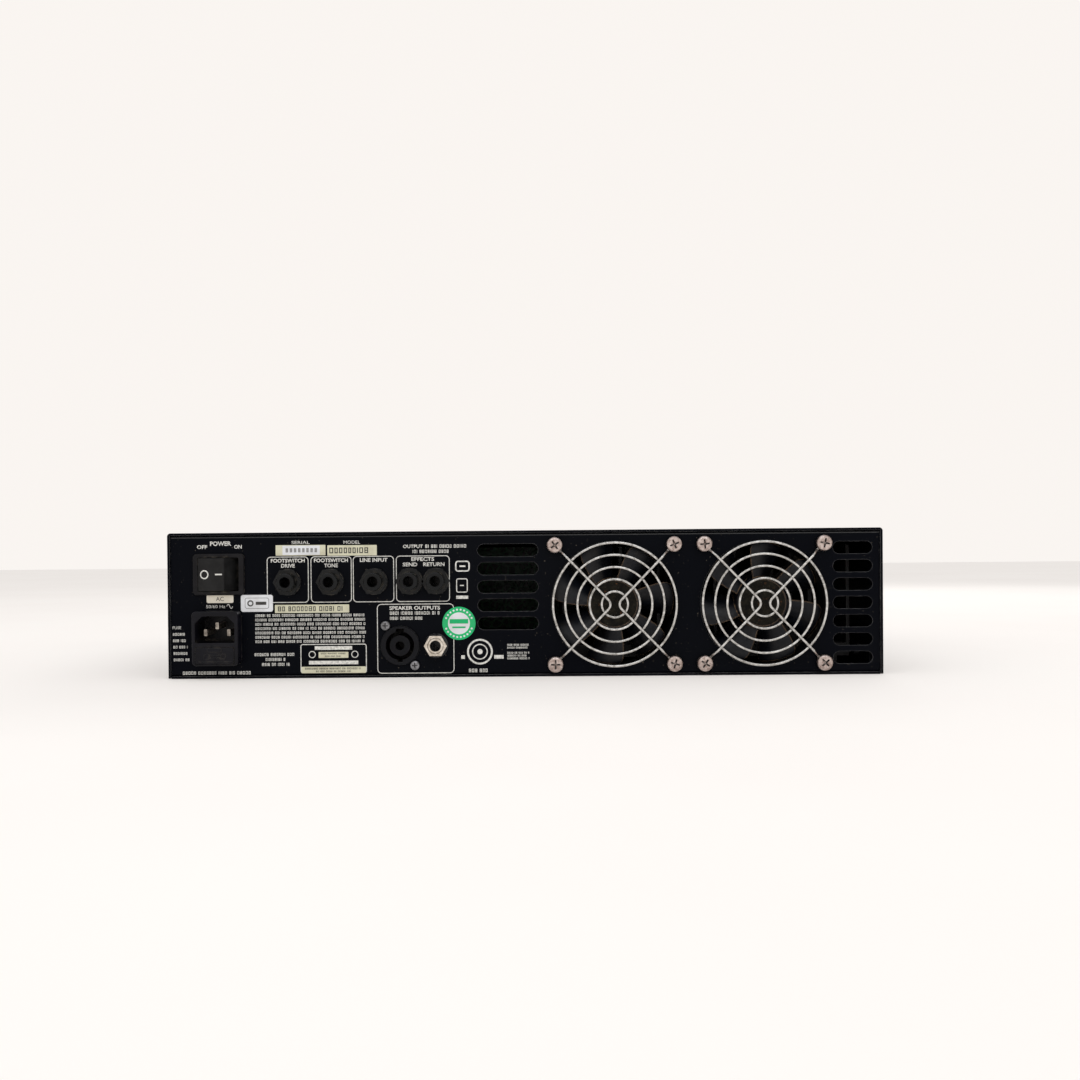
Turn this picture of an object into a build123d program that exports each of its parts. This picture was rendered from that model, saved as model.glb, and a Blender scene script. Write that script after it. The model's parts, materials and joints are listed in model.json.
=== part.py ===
from build123d import *
import math
import os

# Two-unit rack amplifier for bass guitar. Millimetres, +Z up, the front panel faces -Y and the connector panel
# faces +Y. The origin is on the resting surface, at the middle of the overall box.

# --- Rack standard -------------------------------------------------------------------------------------------
RACK_UNIT = 44.45
PANEL_W = 482.6
PANEL_H = 2 * RACK_UNIT - 0.8
PANEL_T = 3.0
EAR_HOLES_W = 465.1
EAR_HOLES_H = 76.2
EAR_SLOT_L = 10.3
EAR_SLOT_W = 6.8

# --- Case ----------------------------------------------------------------------------------------------------
CASE_W = 430.0
CASE_H = 88.0
CASE_D = 318.0
SHEET = 1.5
SHEET_GAP = 0.1
BEND = 2.0
FLANGE = 12.0
TRAY_SIDE_H = 15.0
COVER_LIP = 1.0
COVER_BOTTOM = 0.4
COVER_SCREW_TOP_X = (-198.0, 0.0, 198.0)
COVER_SCREW_SIDE_Z = 9.0
COVER_SCREW_INSET = 40.0
TOP_VENTS_X = (-150.0, -110.0, -70.0, 90.0, 130.0)
TOP_VENT_Y = 80.0
TOP_VENT_ROWS = 6
TOP_VENT = (34.0, 4.0)
TOP_VENT_PITCH = 10.0
SIDE_VENT = (30.0, 4.5)
SIDE_VENT_Y = (-70.0, -20.0, 30.0, 80.0)
SIDE_VENT_Z = (34.0, 48.0)
TRAY_HALF_W = CASE_W / 2 - SHEET - SHEET_GAP

# --- Overall length, which centres the origin ------------------------------------------------------------------
KNOB_REACH = 17.0
INLET_OUT = 9.0
DRAWER_PROUD = 0.4
LATCH_PROUD = 0.6
REAR_REACH = INLET_OUT + DRAWER_PROUD + LATCH_PROUD
Y_REAR = (KNOB_REACH + PANEL_T + CASE_D + REAR_REACH) / 2 - REAR_REACH
Y_WALL = Y_REAR - CASE_D
Y_FACE = Y_WALL - PANEL_T
WALL_BACK = PANEL_T + SHEET
REAR_INSIDE = Y_REAR - SHEET
FRONT_INSIDE = Y_WALL + SHEET

# --- Running clearances ----------------------------------------------------------------------------------------
SHAFT_GAP = 0.05
MOVING_GAP = 0.3

# --- Rear panel layout: X and Z of each centre -----------------------------------------------------------------
SWITCH_AT = (184.1, 63.0)
INLET_AT = (184.5, 24.9)
JACK_X = (142.4, 116.5, 90.2, 68.8, 53.0)
JACK_Z = 58.0
SPEAKER_SOCKET_AT = (74.9, 19.3)
SPEAKER_JACK_AT = (53.4, 19.1)
FAN_X = {"left": -54.3, "right": -143.9}
FAN_Z = 43.2
VENT_PITCH = 11.0
WIDE_VENT_X = 9.7
WIDE_VENT = (36.6, 7.6)
WIDE_VENT_ROWS = (-1, 0, 1, 2, 3)
NARROW_VENT_X = -197.2
NARROW_VENT = (23.6, 7.4)
NARROW_VENT_ROWS = (-3, -2, -1, 0, 1, 2, 3)

# --- Fans ------------------------------------------------------------------------------------------------------
FAN_SIZE = 80.0
FAN_DEPTH = 25.0
FAN_HOLES = 71.5
DUCT_R = 38.0
DUCT_WALL_R = 39.8
FAN_FLANGE_T = 3.5
HUB_R = 15.5
HUB_L = 17.0
HUB_RECESS = 2.0
BLADES = 7
FAN_TURN = {"left": 8.0, "right": 35.0}
BLADE_TIP_R = 36.9
BLADE_T = 1.4
SHAFT_R = 1.5
MOTOR_PLATE_R = 17.0
MOTOR_PLATE_T = 3.0
STATOR_R = 12.3
GUARD_RINGS = (7.8, 15.1, 22.4, 29.7, 37.0)
WIRE_R = 0.8
RING_OUT = 3.2
SPOKE_OUT = 4.6
EYELET_R = 3.6
SPOKE_APEX = 1.2
SPOKE_BEND_R = (1.5, 1.5, 4.0, 1.5, 1.5)

# --- Screws ----------------------------------------------------------------------------------------------------
M5_HEAD = (4.85, 3.1)
M5_SHANK_R = 2.0
M4_HEAD = (3.6, 2.3)
M4_SHANK_R = 1.9
M3_HEAD = (2.9, 1.8)
M3_SHANK_R = 1.45
M3_FLAT_HEAD = (2.9, 1.4)
HOLE_GAP = 0.15
RECESS_FLOOR = 0.3
RECESS_ARM = ((-1, 0.13, 0.0), (1, 0.13, 0.0), (1, 0.09, 0.58), (-1, 0.09, 0.58))
SCREW_TURN = 37.0

# --- Mains switch ----------------------------------------------------------------------------------------------
BEZEL = (31.0, 25.1)
BEZEL_OUT = 2.0
SWITCH_HOLE = (27.4, 22.4)
SWITCH_CASE = (27.0, 22.0)
SWITCH_DEPTH = 21.0
ROCKER_WINDOW = (24.8, 20.4)
ROCKER_H = 19.6
ROCKER_TILT = 15.0
ROCKER_PIVOT_OUT = -9.0
ROCKER_PIN_R = 1.0
ROCKER_FACE = (8.7, 14.1)
ROCKER_BELLY = (10.6, 6.6)
ROCKER_WIDEST = (12.0, 0.0)
ROCKER_BASE = (8.5, -2.0)
ROCKER_DISH = 0.25

# --- Mains inlet -----------------------------------------------------------------------------------------------
INLET_BLOCK = (27.7, 32.6)
INLET_THROAT = (26.6, 31.4)
INLET_HOLE = (26.8, 31.6)
INLET_DEPTH = 22.0
INLET_CAVITY = (23.8, 16.1)
INLET_CAVITY_UP = 5.35
INLET_CAVITY_DEPTH = 20.0
INLET_CHAMFER = 4.5
INLET_PIN = (2.0, 4.0)
INLET_PINS_AT = ((-7.0, 3.2), (0.0, 7.3), (7.0, 3.2))
INLET_PIN_OUT = 3.5
INLET_TAB_DEPTH = 31.0
DRAWER_FACE = (22.8, 9.7)
DRAWER_UP = -10.2
DRAWER_TRAY = (21.6, 8.4)
DRAWER_L = 27.0
DRAWER_GAP = 0.3
FUSE_R = 2.6
FUSE_L = 20.0

# --- Jacks -----------------------------------------------------------------------------------------------------
JACK_BORE_R = 3.25
JACK_BORE_DEPTH = 22.0
JACK_BUSH_R = 5.4
JACK_BUSH_OUT = 9.0
JACK_CASE = (15.5, 17.0)
JACK_CASE_DEPTH = 25.0
JACK_NUT = (7.4, 3.4)
METAL_BUSH_R = 4.75
METAL_BUSH_OUT = 4.3
METAL_NUT = (6.0, 2.4)
METAL_WASHER = (7.5, 1.5)
FRONT_BUSH_OUT = 8.0

# --- Twist-lock speaker socket ---------------------------------------------------------------------------------
LOCK_BARREL_R = 11.75
LOCK_WELL_R = 8.65
LOCK_CORE_R = 6.1
LOCK_CORE_HOLE_R = 2.75
LOCK_OUT = 1.8
LOCK_DEPTH = 24.0
D_FLANGE = (26.0, 31.0)
D_SCREWS = (8.8, 12.0)

# --- Front panel layout ----------------------------------------------------------------------------------------
KNOBS_AT = {
    "input": (-110.0, 50.0),
    "drive": (-74.0, 50.0),
    "bass": (-30.0, 50.0),
    "middle": (44.0, 50.0),
    "treble": (118.0, 50.0),
    "output": (158.0, 50.0),
}
FADERS_AT = {"low": -4.0, "low_middle": 16.0, "high_middle": 72.0, "high": 92.0}
FADER_Z = 46.0
BUTTONS_AT = {"pad": (-196.0, 66.0), "drive": (-92.0, 22.0), "mute": (138.0, 22.0)}
INPUT_JACK_AT = (-196.0, 38.0)
METER_AT = (-153.0, 46.0)
LED_AT = (158.0, 76.0)
DI_AT = (193.0, 46.0)
FRONT_SCREWS_AT = ((-209.0, 10.0), (-209.0, 78.0), (0.0, 8.0), (209.0, 10.0), (209.0, 78.0))

# --- Controls --------------------------------------------------------------------------------------------------
KNOB_R = 10.0
KNOB_SKIRT_R = 11.0
KNOB_FACE_GAP = 0.8
KNOB_FLUTES = 12
POT_CASE = 16.0
POT_DEPTH = 8.5
POT_BUSH_R = 3.75
POT_SHAFT_R = 3.0
CONTROL_BACK = -WALL_BACK - 12.0
BODY_FRONT = CONTROL_BACK + POT_DEPTH
FADER_SLOT = (30.0, 2.8)
FADER_TRAVEL = 10.0
FADER_LEVER = (1.4, 4.0)
FADER_CASE = (9.0, 42.0)
FADER_CAP = (9.0, 12.0)
BUTTON_R = 4.0
BUTTON_OUT = 5.0
BUTTON_TRAVEL = 2.5
BUTTON_STEM = 3.0
SWITCH_BOX = 10.0
LED_R = 2.5
METER_CASE = (54.0, 40.0)
METER_WALL = 1.6
METER_DEPTH = 26.0
METER_WINDOW = (48.0, 32.0)
METER_PIVOT_DOWN = 12.0
NEEDLE_L = 25.0
NEEDLE_REST = 45.0
NEEDLE_AXLE_R = 0.7
XLR_FLANGE_T = 2.0
XLR_SCREWS = ((-9.5, 12.0), (9.5, -12.0))
XLR_SHELL_R = 11.5
XLR_WELL_R = 9.6
XLR_WELL_DEPTH = 16.0
XLR_PIN_R = 1.2
XLR_PIN_CIRCLE = 4.8

# --- Inside ----------------------------------------------------------------------------------------------------
TOROID_AT = (110.0, 10.0)
TOROID_R = 62.0
TOROID_HOLE_R = 18.0
TOROID_H = 56.0
HEATSINK_X = (-205.0, -12.0)
HEATSINK_Y = (32.0, 130.0)
HEATSINK_Z = (8.0, 78.0)
HEATSINK_BASE = 8.0
HEATSINK_STEP = 28.0
FINS = 17
FIN_T = 2.0
TRANSISTORS = 8
TRANSISTOR = (15.8, 20.0, 4.8)
BOARD_T = 1.6
BOARD_Z = 11.5
AMP_BOARD_X = (-203.0, -14.0)
AMP_BOARD_Y = (-118.0, 0.0)
CAPACITORS_X = (-185.0, -143.0, -101.0, -59.0)
CAPACITOR_Y = -62.0
CAPACITOR_R = 15.0
CAPACITOR_H = 46.0
PREAMP_BOARD_X = (-124.0, 172.0)
PREAMP_BOARD_Z = (8.0, 80.0)
PAD_BOARD_X = (-209.0, -183.0)
PAD_BOARD_Z = (47.5, 79.0)
PAD_BOARD_POSTS = ((-204.5, 52.0), (-187.5, 52.0))
BOARD_EDGE = 5.5
JACK_BOARD = (9.0, 32.0, 2.0)
TRANSISTOR_HOLE_R = 1.6
HEATSINK_FOOT = (12.0, 8.0)
VALVE_AT = (184.0, -88.0)
VALVE_R = 10.8
VALVE_H = 50.0
SOCKET_R = 12.5
SOCKET_H = 13.0
STANDOFF_R = 3.0


# === Helpers =====================================================================================================
def block(x0, x1, y0, y1, z0, z1):
    """A box between two corners."""
    return Pos((x0 + x1) / 2, (y0 + y1) / 2, (z0 + z1) / 2) * Box(x1 - x0, y1 - y0, z1 - z0)


def rear_at(at):
    """Local axes of the connector panel, seen from behind: X right, Y up, Z out of the panel's outer face."""
    return Plane((at[0], Y_REAR, at[1]), x_dir=(-1, 0, 0), z_dir=(0, 1, 0)).location


def front_at(at):
    """Local axes of the front panel, seen from the front: X right, Y up, Z out of its face."""
    return Plane((at[0], Y_FACE, at[1]), x_dir=(1, 0, 0), z_dir=(0, -1, 0)).location


def layer(outline, low, high):
    """A flat outline made solid between two heights of its local Z."""
    return Pos(0, 0, low) * extrude(outline, high - low)


def rounded(size, radius):
    return RectangleRounded(size[0], size[1], radius)


def tube(outer_r, inner_r, low, high):
    return layer(Circle(outer_r) - Circle(inner_r), low, high)


def hexagon(half_flats):
    return RegularPolygon(half_flats, 6, major_radius=False)


def slot(length, width, angle=0.0):
    return SlotOverall(length, width, rotation=angle)


def pan_screw(head, shank_r, length):
    """Cross-recess pan head on local Z: the head's underside is at zero and the shank runs down."""
    head_r, head_h = head
    dome = Cylinder(head_r, head_h, align=(Align.CENTER, Align.CENTER, Align.MIN))
    dome = fillet(dome.edges().group_by(Axis.Z)[-1], 0.62 * head_h)
    shank = Pos(0, 0, -length / 2) * Cylinder(shank_r, length)
    return dome + shank - Pos(0, 0, RECESS_FLOOR * head_h) * cross_recess(head_r, head_h)


def cross_recess(head_r, depth):
    """Cross whose arms taper towards their ends, standing on zero."""
    arm = Polygon(*[(i * w * head_r, r * head_r) for i, w, r in RECESS_ARM], align=None)
    star = Sketch() + [Rot(0, 0, 90 * i) * arm for i in range(4)]
    return extrude(star, depth)


def flat_head(growth, shank_r):
    """Cone of a countersunk head, flush at zero, or its seat when grown by a clearance."""
    head_r, head_h = M3_FLAT_HEAD
    return Cone(shank_r + growth, head_r + growth, head_h, align=(Align.CENTER, Align.CENTER, Align.MAX))


def flat_screw(length):
    """Countersunk cross-recess screw on local Z, flush at zero."""
    head_r, head_h = M3_FLAT_HEAD
    shank = Pos(0, 0, -length / 2 - head_h / 2) * Cylinder(M3_SHANK_R, length - head_h)
    return flat_head(0, M3_SHANK_R) + shank - Pos(0, 0, -0.6 * head_h) * cross_recess(head_r, head_h)


def hex_nut(half_flats, hole_r, low, high):
    return layer(hexagon(half_flats) - Circle(hole_r), low, high)


def group(parts, place=Location()):
    """Separate pieces that are kept in one node, each moved to the same place."""
    return Compound(children=[place * part for part in parts])


def corners(half_x, half_y):
    return [(i * half_x, j * half_y) for i in (-1, 1) for j in (-1, 1)]


# === Case ========================================================================================================
def cover_screw_places():
    """Seats of the cover's screws: three along the front, three along the rear, and three on each side."""
    top_y = (FRONT_INSIDE + FLANGE / 2, REAR_INSIDE - FLANGE / 2)
    side_y = (Y_WALL + COVER_SCREW_INSET, (Y_WALL + Y_REAR) / 2, Y_REAR - COVER_SCREW_INSET)
    top = [Location((x, y, CASE_H)) for x in COVER_SCREW_TOP_X for y in top_y]
    right = [Location((CASE_W / 2, y, COVER_SCREW_SIDE_Z), (0, 90, 0)) for y in side_y]
    left = [Location((-CASE_W / 2, y, COVER_SCREW_SIDE_Z), (0, -90, 0)) for y in side_y]
    return top + right + left


def cover_holes():
    return [place * Cylinder(M3_SHANK_R + SHAFT_GAP, 6 * SHEET) for place in cover_screw_places()]


def cover_seats():
    """Countersinks through the cover."""
    return [place * flat_head(HOLE_GAP, M3_SHANK_R) for place in cover_screw_places()]


def front_wall_openings():
    """Clearance openings in the sheet behind the front panel."""
    gap = 1.0
    deep = 4 * WALL_BACK
    cuts = [front_at(at) * Cylinder(POT_BUSH_R + gap, deep) for at in KNOBS_AT.values()]
    cuts += [front_at(at) * Cylinder(BUTTON_R + gap, deep) for at in BUTTONS_AT.values()]
    fader_hole = extrude(slot(FADER_SLOT[0] + 2, FADER_SLOT[1] + 2, 90), deep / 2, both=True)
    cuts += [front_at((x, FADER_Z)) * fader_hole for x in FADERS_AT.values()]
    meter_hole = Box(METER_CASE[0] + gap, METER_CASE[1] + gap, deep)
    cuts.append(front_at(METER_AT) * meter_hole)
    cuts.append(front_at(INPUT_JACK_AT) * Cylinder(JACK_BUSH_R + HOLE_GAP, deep))
    cuts.append(front_at(DI_AT) * Cylinder(XLR_SHELL_R + gap, deep))
    cuts.append(front_at(LED_AT) * Cylinder(LED_R + gap, deep))
    cuts += [front_at(at) * Cylinder(M4_SHANK_R + SHAFT_GAP, deep) for at in FRONT_SCREWS_AT]
    cuts += [front_at(DI_AT) * Pos(*p) * Cylinder(M3_SHANK_R + SHAFT_GAP, deep) for p in XLR_SCREWS]
    return cuts


def base_tray():
    """Folded sheet: floor, front wall with a top flange, and a low flange along each side."""
    wall_top = CASE_H - SHEET
    floor = block(-TRAY_HALF_W, TRAY_HALF_W, Y_WALL, Y_REAR, 0, SHEET)
    wall = block(-TRAY_HALF_W, TRAY_HALF_W, Y_WALL, FRONT_INSIDE, 0, wall_top)
    top_flange = block(-TRAY_HALF_W, TRAY_HALF_W, Y_WALL, FRONT_INSIDE + FLANGE, wall_top - SHEET, wall_top)
    tray = floor + wall + top_flange
    for side in (-1, 1):
        inner, outer = sorted((side * (TRAY_HALF_W - SHEET), side * TRAY_HALF_W))
        tray += block(inner, outer, FRONT_INSIDE, REAR_INSIDE - FLANGE - 2, 0, TRAY_SIDE_H)
    posts = [Pos(x, y, 0) * Cylinder(M3_SHANK_R + SHAFT_GAP, 4 * SHEET) for x, y in floor_post_places()]
    bolt = Pos(*TOROID_AT, 0) * Cylinder(M4_SHANK_R + 1 + SHAFT_GAP, 4 * SHEET)
    return tray - front_wall_openings() - cover_holes() - posts - bolt


def rear_panel():
    """Folded sheet that carries every connector, the switch, the inlet and both fans."""
    outer = block(-TRAY_HALF_W, TRAY_HALF_W, REAR_INSIDE - FLANGE, Y_REAR, SHEET, CASE_H - SHEET)
    outer = fillet(outer.edges().filter_by(Axis.X).group_by(Axis.Y)[-1], BEND)
    inner = block(-TRAY_HALF_W, TRAY_HALF_W, REAR_INSIDE - 2 * FLANGE, REAR_INSIDE, 2 * SHEET, CASE_H - 2 * SHEET)
    deep = 3 * SHEET
    cuts = [rear_at(SWITCH_AT) * Box(*SWITCH_HOLE, deep)]
    cuts.append(rear_at(INLET_AT) * extrude(rounded(INLET_HOLE, 2.0), deep, both=True))
    cuts += [rear_at((x, JACK_Z)) * Cylinder(JACK_BUSH_R + HOLE_GAP, deep) for x in JACK_X]
    cuts.append(rear_at(SPEAKER_SOCKET_AT) * Cylinder(LOCK_BARREL_R + SHAFT_GAP, deep))
    cuts += [rear_at(SPEAKER_SOCKET_AT) * Pos(*p) * Cylinder(M3_SHANK_R + HOLE_GAP, deep) for p in lock_screws()]
    cuts.append(rear_at(SPEAKER_JACK_AT) * Cylinder(METAL_BUSH_R + SHAFT_GAP, deep))
    for x in FAN_X.values():
        cuts.append(rear_at((x, FAN_Z)) * Cylinder(DUCT_R, deep))
        cuts += [rear_at((x, FAN_Z)) * Pos(*p) * Cylinder(M5_SHANK_R + HOLE_GAP, deep) for p in fan_corners()]
    for size, x, rows in ((WIDE_VENT, WIDE_VENT_X, WIDE_VENT_ROWS), (NARROW_VENT, NARROW_VENT_X, NARROW_VENT_ROWS)):
        vent = extrude(slot(*size), deep, both=True)
        cuts += [rear_at((x, FAN_Z + row * VENT_PITCH)) * vent for row in rows]
    return outer - inner - cuts - cover_holes()


def top_cover():
    """Inverted U of sheet with louvre slots over the transformer and the heatsink."""
    half = CASE_W / 2
    back = Y_REAR + COVER_LIP
    outer = block(-half, half, Y_WALL, back, COVER_BOTTOM, CASE_H)
    outer = fillet(outer.edges().filter_by(Axis.Y).group_by(Axis.Z)[-1], BEND)
    inner = block(-half + SHEET, half - SHEET, Y_WALL - SHEET, back + SHEET, -SHEET, CASE_H - SHEET)
    vent = extrude(slot(*TOP_VENT), 3 * SHEET, both=True)
    rows = [TOP_VENT_Y - row * TOP_VENT_PITCH for row in range(TOP_VENT_ROWS)]
    cuts = [Pos(x, y, CASE_H) * vent for x in TOP_VENTS_X for y in rows]
    side_vent = extrude(Plane.YZ * slot(*SIDE_VENT), CASE_W, both=True)
    cuts += [Pos(0, y, z) * side_vent for y in SIDE_VENT_Y for z in SIDE_VENT_Z]
    return outer - inner - cuts - cover_holes() - cover_seats()


def cover_screws():
    screw = flat_screw(6.0)
    return group(place * screw for place in cover_screw_places())


def ear_slots():
    cut = extrude(slot(EAR_SLOT_L, EAR_SLOT_W), PANEL_T * 2, both=True)
    return [front_at((x, PANEL_H / 2 + z)) * cut for x, z in corners(EAR_HOLES_W / 2, EAR_HOLES_H / 2)]


def front_panel():
    """Aluminium rack panel with slotted ears and an opening for each control."""
    plate = front_at((0, PANEL_H / 2)) * layer(rounded((PANEL_W, PANEL_H), 2.0), -PANEL_T, 0)
    plate = chamfer(plate.faces().group_by(Axis.Y)[0].edges(), 0.4)
    deep = PANEL_T * 4
    cuts = ear_slots()
    cuts += [front_at(at) * Cylinder(POT_BUSH_R + HOLE_GAP, deep) for at in KNOBS_AT.values()]
    cuts += [front_at(at) * Cylinder(BUTTON_R + MOVING_GAP, deep) for at in BUTTONS_AT.values()]
    fader_hole = extrude(slot(*FADER_SLOT, 90), deep / 2, both=True)
    cuts += [front_at((x, FADER_Z)) * fader_hole for x in FADERS_AT.values()]
    cuts.append(front_at(METER_AT) * extrude(rounded(METER_WINDOW, 1.5), deep / 2, both=True))
    cuts.append(front_at(INPUT_JACK_AT) * Cylinder(JACK_BUSH_R + HOLE_GAP, deep))
    cuts.append(front_at(DI_AT) * Cylinder(XLR_SHELL_R + HOLE_GAP, deep))
    cuts += [front_at(DI_AT) * Pos(*p) * Cylinder(M3_SHANK_R + HOLE_GAP, deep) for p in XLR_SCREWS]
    cuts.append(front_at(LED_AT) * Cylinder(LED_R + SHAFT_GAP, deep))
    cuts += [front_at(at) * Cylinder(M4_SHANK_R + HOLE_GAP, deep) for at in FRONT_SCREWS_AT]
    return plate - cuts


def front_screws():
    """Five button screws of the panel and two of the balanced output socket."""
    panel_screw = pan_screw(M4_HEAD, M4_SHANK_R, WALL_BACK + 2)
    socket_screw = pan_screw(M3_HEAD, M3_SHANK_R, WALL_BACK + 4)
    screws = [front_at(at) * panel_screw for at in FRONT_SCREWS_AT]
    screws += [front_at(DI_AT) * Pos(*p, XLR_FLANGE_T) * socket_screw for p in XLR_SCREWS]
    return group(screws)


# === Mains switch ================================================================================================
def power_switch_body():
    """Snap-in bezel and case with a window for the rocker."""
    bezel = layer(rounded(BEZEL, 2.5), 0, BEZEL_OUT)
    bezel = fillet(bezel.faces().sort_by(Axis.Z)[-1].edges(), 0.9)
    case = layer(rounded(SWITCH_CASE, 1.0), -SWITCH_DEPTH, 0)
    well = layer(rounded(ROCKER_WINDOW, 0.8), -SWITCH_DEPTH + 5, BEZEL_OUT + 1)
    pin_holes = Pos(0, 0, ROCKER_PIVOT_OUT) * Rot(90, 0, 0) * Cylinder(ROCKER_PIN_R + SHAFT_GAP, BEZEL[1])
    pin_holes &= Box(10, SWITCH_CASE[1], 4 * SWITCH_DEPTH)
    tabs = [Pos(x, 0, -SWITCH_DEPTH - 4) * Box(0.8, 6.3, 9) for x in (-8, 0, 8)]
    body = bezel + case - well - pin_holes
    return rear_at(SWITCH_AT) * (body + tabs)


def power_rocker():
    """Rocker held in its off position: a dished face and curved ends, on a vertical pivot."""
    right = [ROCKER_WIDEST, ROCKER_BELLY, ROCKER_FACE]
    left = [(-x, y) for x, y in reversed(right)]
    with BuildSketch() as profile:
        with BuildLine():
            Polyline(left[-1], (-ROCKER_BASE[0], ROCKER_BASE[1]), ROCKER_BASE, right[0])
            ThreePointArc(*right)
            ThreePointArc(right[-1], (0.0, ROCKER_FACE[1] - ROCKER_DISH), left[0])
            ThreePointArc(*left)
        make_face()
    bar = extrude(profile.sketch, ROCKER_H / 2, both=True)
    bar = fillet(bar.edges().filter_by(Axis.Z).group_by(Axis.Y)[-1], 0.6)
    pins = Cylinder(ROCKER_PIN_R, SWITCH_CASE[1] - 0.6)
    rocker = Rot(0, 0, ROCKER_TILT) * (bar + pins)
    return rear_at(SWITCH_AT) * Pos(0, 0, ROCKER_PIVOT_OUT) * Rot(90, 0, 0) * rocker


# === Mains inlet =================================================================================================
def inlet_pin_boxes(low, high):
    boxes = [layer(rounded(INLET_PIN, 0.4), low, high)]
    return [Pos(x, y) * boxes[0] for x, y in INLET_PINS_AT]


def drawer_tunnel(size, gap, low, high):
    wide, tall = size
    return Pos(0, DRAWER_UP) * layer(Rectangle(wide + 2 * gap, tall + 2 * gap), low, high)


def inlet_body():
    """Block with the three-pole plug cavity above and the fuse drawer's tunnel below."""
    block_out = layer(rounded(INLET_BLOCK, 2.6), 0, INLET_OUT)
    block_out = fillet(block_out.faces().sort_by(Axis.Z)[-1].edges(), 0.8)
    throat = layer(rounded(INLET_THROAT, 1.8), -INLET_DEPTH, 0)
    cavity = Rectangle(*INLET_CAVITY)
    cavity = chamfer(cavity.vertices().group_by(Axis.Y)[-1], INLET_CHAMFER)
    cavity = fillet(cavity.vertices().group_by(Axis.Y)[0], 0.8)
    well = Pos(0, INLET_CAVITY_UP) * layer(cavity, INLET_OUT - INLET_CAVITY_DEPTH, INLET_OUT + 1)
    tunnel = drawer_tunnel(DRAWER_TRAY, DRAWER_GAP, INLET_OUT - DRAWER_L - 1, INLET_OUT + 1)
    recess = drawer_tunnel(DRAWER_FACE, DRAWER_GAP, INLET_OUT - 1, INLET_OUT + 1)
    pins = inlet_pin_boxes(-INLET_DEPTH - 1, 0)
    return rear_at(INLET_AT) * (block_out + throat - well - tunnel - recess - pins)


def inlet_pins():
    return group(inlet_pin_boxes(-INLET_TAB_DEPTH, INLET_PIN_OUT), rear_at(INLET_AT))


def fuse_drawer():
    """Drawer with a latch tab on its face and a cradle for one cartridge fuse lying across it."""
    face_out = INLET_OUT + DRAWER_PROUD
    face = Pos(0, DRAWER_UP) * layer(rounded(DRAWER_FACE, 1.0), INLET_OUT - 0.9, face_out)
    latch_up = DRAWER_UP + DRAWER_FACE[1] / 2 - 1.3
    latch = Pos(0, latch_up) * layer(rounded((8.0, 2.2), 0.6), INLET_OUT, face_out + LATCH_PROUD)
    tray = drawer_tunnel(DRAWER_TRAY, 0, INLET_OUT - DRAWER_L, INLET_OUT - 0.5)
    cradle = Pos(0, DRAWER_UP + 2.5, fuse_out()) * Box(FUSE_L + 0.6, DRAWER_TRAY[1], 2 * FUSE_R + 1.2)
    hollow = Pos(0, DRAWER_UP + 2.5, fuse_out() - 9) * Box(FUSE_L - 2, DRAWER_TRAY[1], 8)
    return rear_at(INLET_AT) * (face + latch + tray - cradle - hollow)


def fuse_out():
    return INLET_OUT - 11.0


def fuse():
    """Glass cartridge with a metal cap at each end, lying along X in the drawer."""
    glass = Cylinder(FUSE_R - 0.15, FUSE_L - 0.2)
    caps = [Pos(0, 0, s * (FUSE_L / 2 - 2.5)) * Cylinder(FUSE_R, 5.0) for s in (-1, 1)]
    cradle_floor = DRAWER_UP + 2.5 - DRAWER_TRAY[1] / 2
    return rear_at(INLET_AT) * Pos(0, cradle_floor + FUSE_R, fuse_out()) * Rot(0, 90, 0) * (glass + caps)


# === Jacks =======================================================================================================
def jack(bush_r, bush_out, wall):
    """Plug socket on local Z, with its case behind a wall of the given thickness."""
    case = layer(rounded(JACK_CASE, 1.0), -wall - JACK_CASE_DEPTH, -wall)
    bush = layer(Circle(bush_r), -wall, bush_out)
    bush = chamfer(bush.edges().group_by(Axis.Z)[-1], 0.5)
    bore = layer(Circle(JACK_BORE_R), -JACK_BORE_DEPTH, bush_out)
    lugs = [Pos(x, -JACK_CASE[1] / 2 + 1, -wall - JACK_CASE_DEPTH - 1.5) * Box(1.6, 0.8, 4) for x in (-4, 0, 4)]
    return case + bush - bore + lugs


def rear_jacks():
    one = jack(JACK_BUSH_R, JACK_BUSH_OUT, SHEET)
    return group(rear_at((x, JACK_Z)) * one for x in JACK_X)


def notched_nut():
    """Moulded hexagonal nut with a washer flange."""
    half_flats, height = JACK_NUT
    flange = tube(half_flats + 0.6, JACK_BUSH_R + SHAFT_GAP, 0, 0.9)
    return hex_nut(half_flats, JACK_BUSH_R + SHAFT_GAP, 0.9, height) + flange


def jack_nuts():
    nut = notched_nut()
    return group([rear_at((x, JACK_Z)) * nut for x in JACK_X] + [front_at(INPUT_JACK_AT) * nut])


def input_jack():
    return front_at(INPUT_JACK_AT) * jack(JACK_BUSH_R, FRONT_BUSH_OUT, WALL_BACK)


def speaker_jack():
    return rear_at(SPEAKER_JACK_AT) * jack(METAL_BUSH_R, METAL_BUSH_OUT, SHEET)


def speaker_jack_fasteners():
    """Domed washer and hexagonal nut."""
    washer_r, washer_t = METAL_WASHER
    half_flats, nut_h = METAL_NUT
    hole_r = METAL_BUSH_R + SHAFT_GAP
    washer = Circle(washer_r) - Circle(hole_r)
    washer = layer(washer, 0, washer_t)
    washer = chamfer(washer.edges().group_by(Axis.Z)[-1].sort_by(SortBy.LENGTH)[-1], 1.1)
    nut = hex_nut(half_flats, hole_r, washer_t, washer_t + nut_h)
    return group([washer, nut], rear_at(SPEAKER_JACK_AT))


# === Twist-lock speaker socket ===================================================================================
def lock_screws():
    """One screw at the viewer's top left and one at the bottom right."""
    return [(-D_SCREWS[0], D_SCREWS[1]), (D_SCREWS[0], -D_SCREWS[1])]


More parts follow.
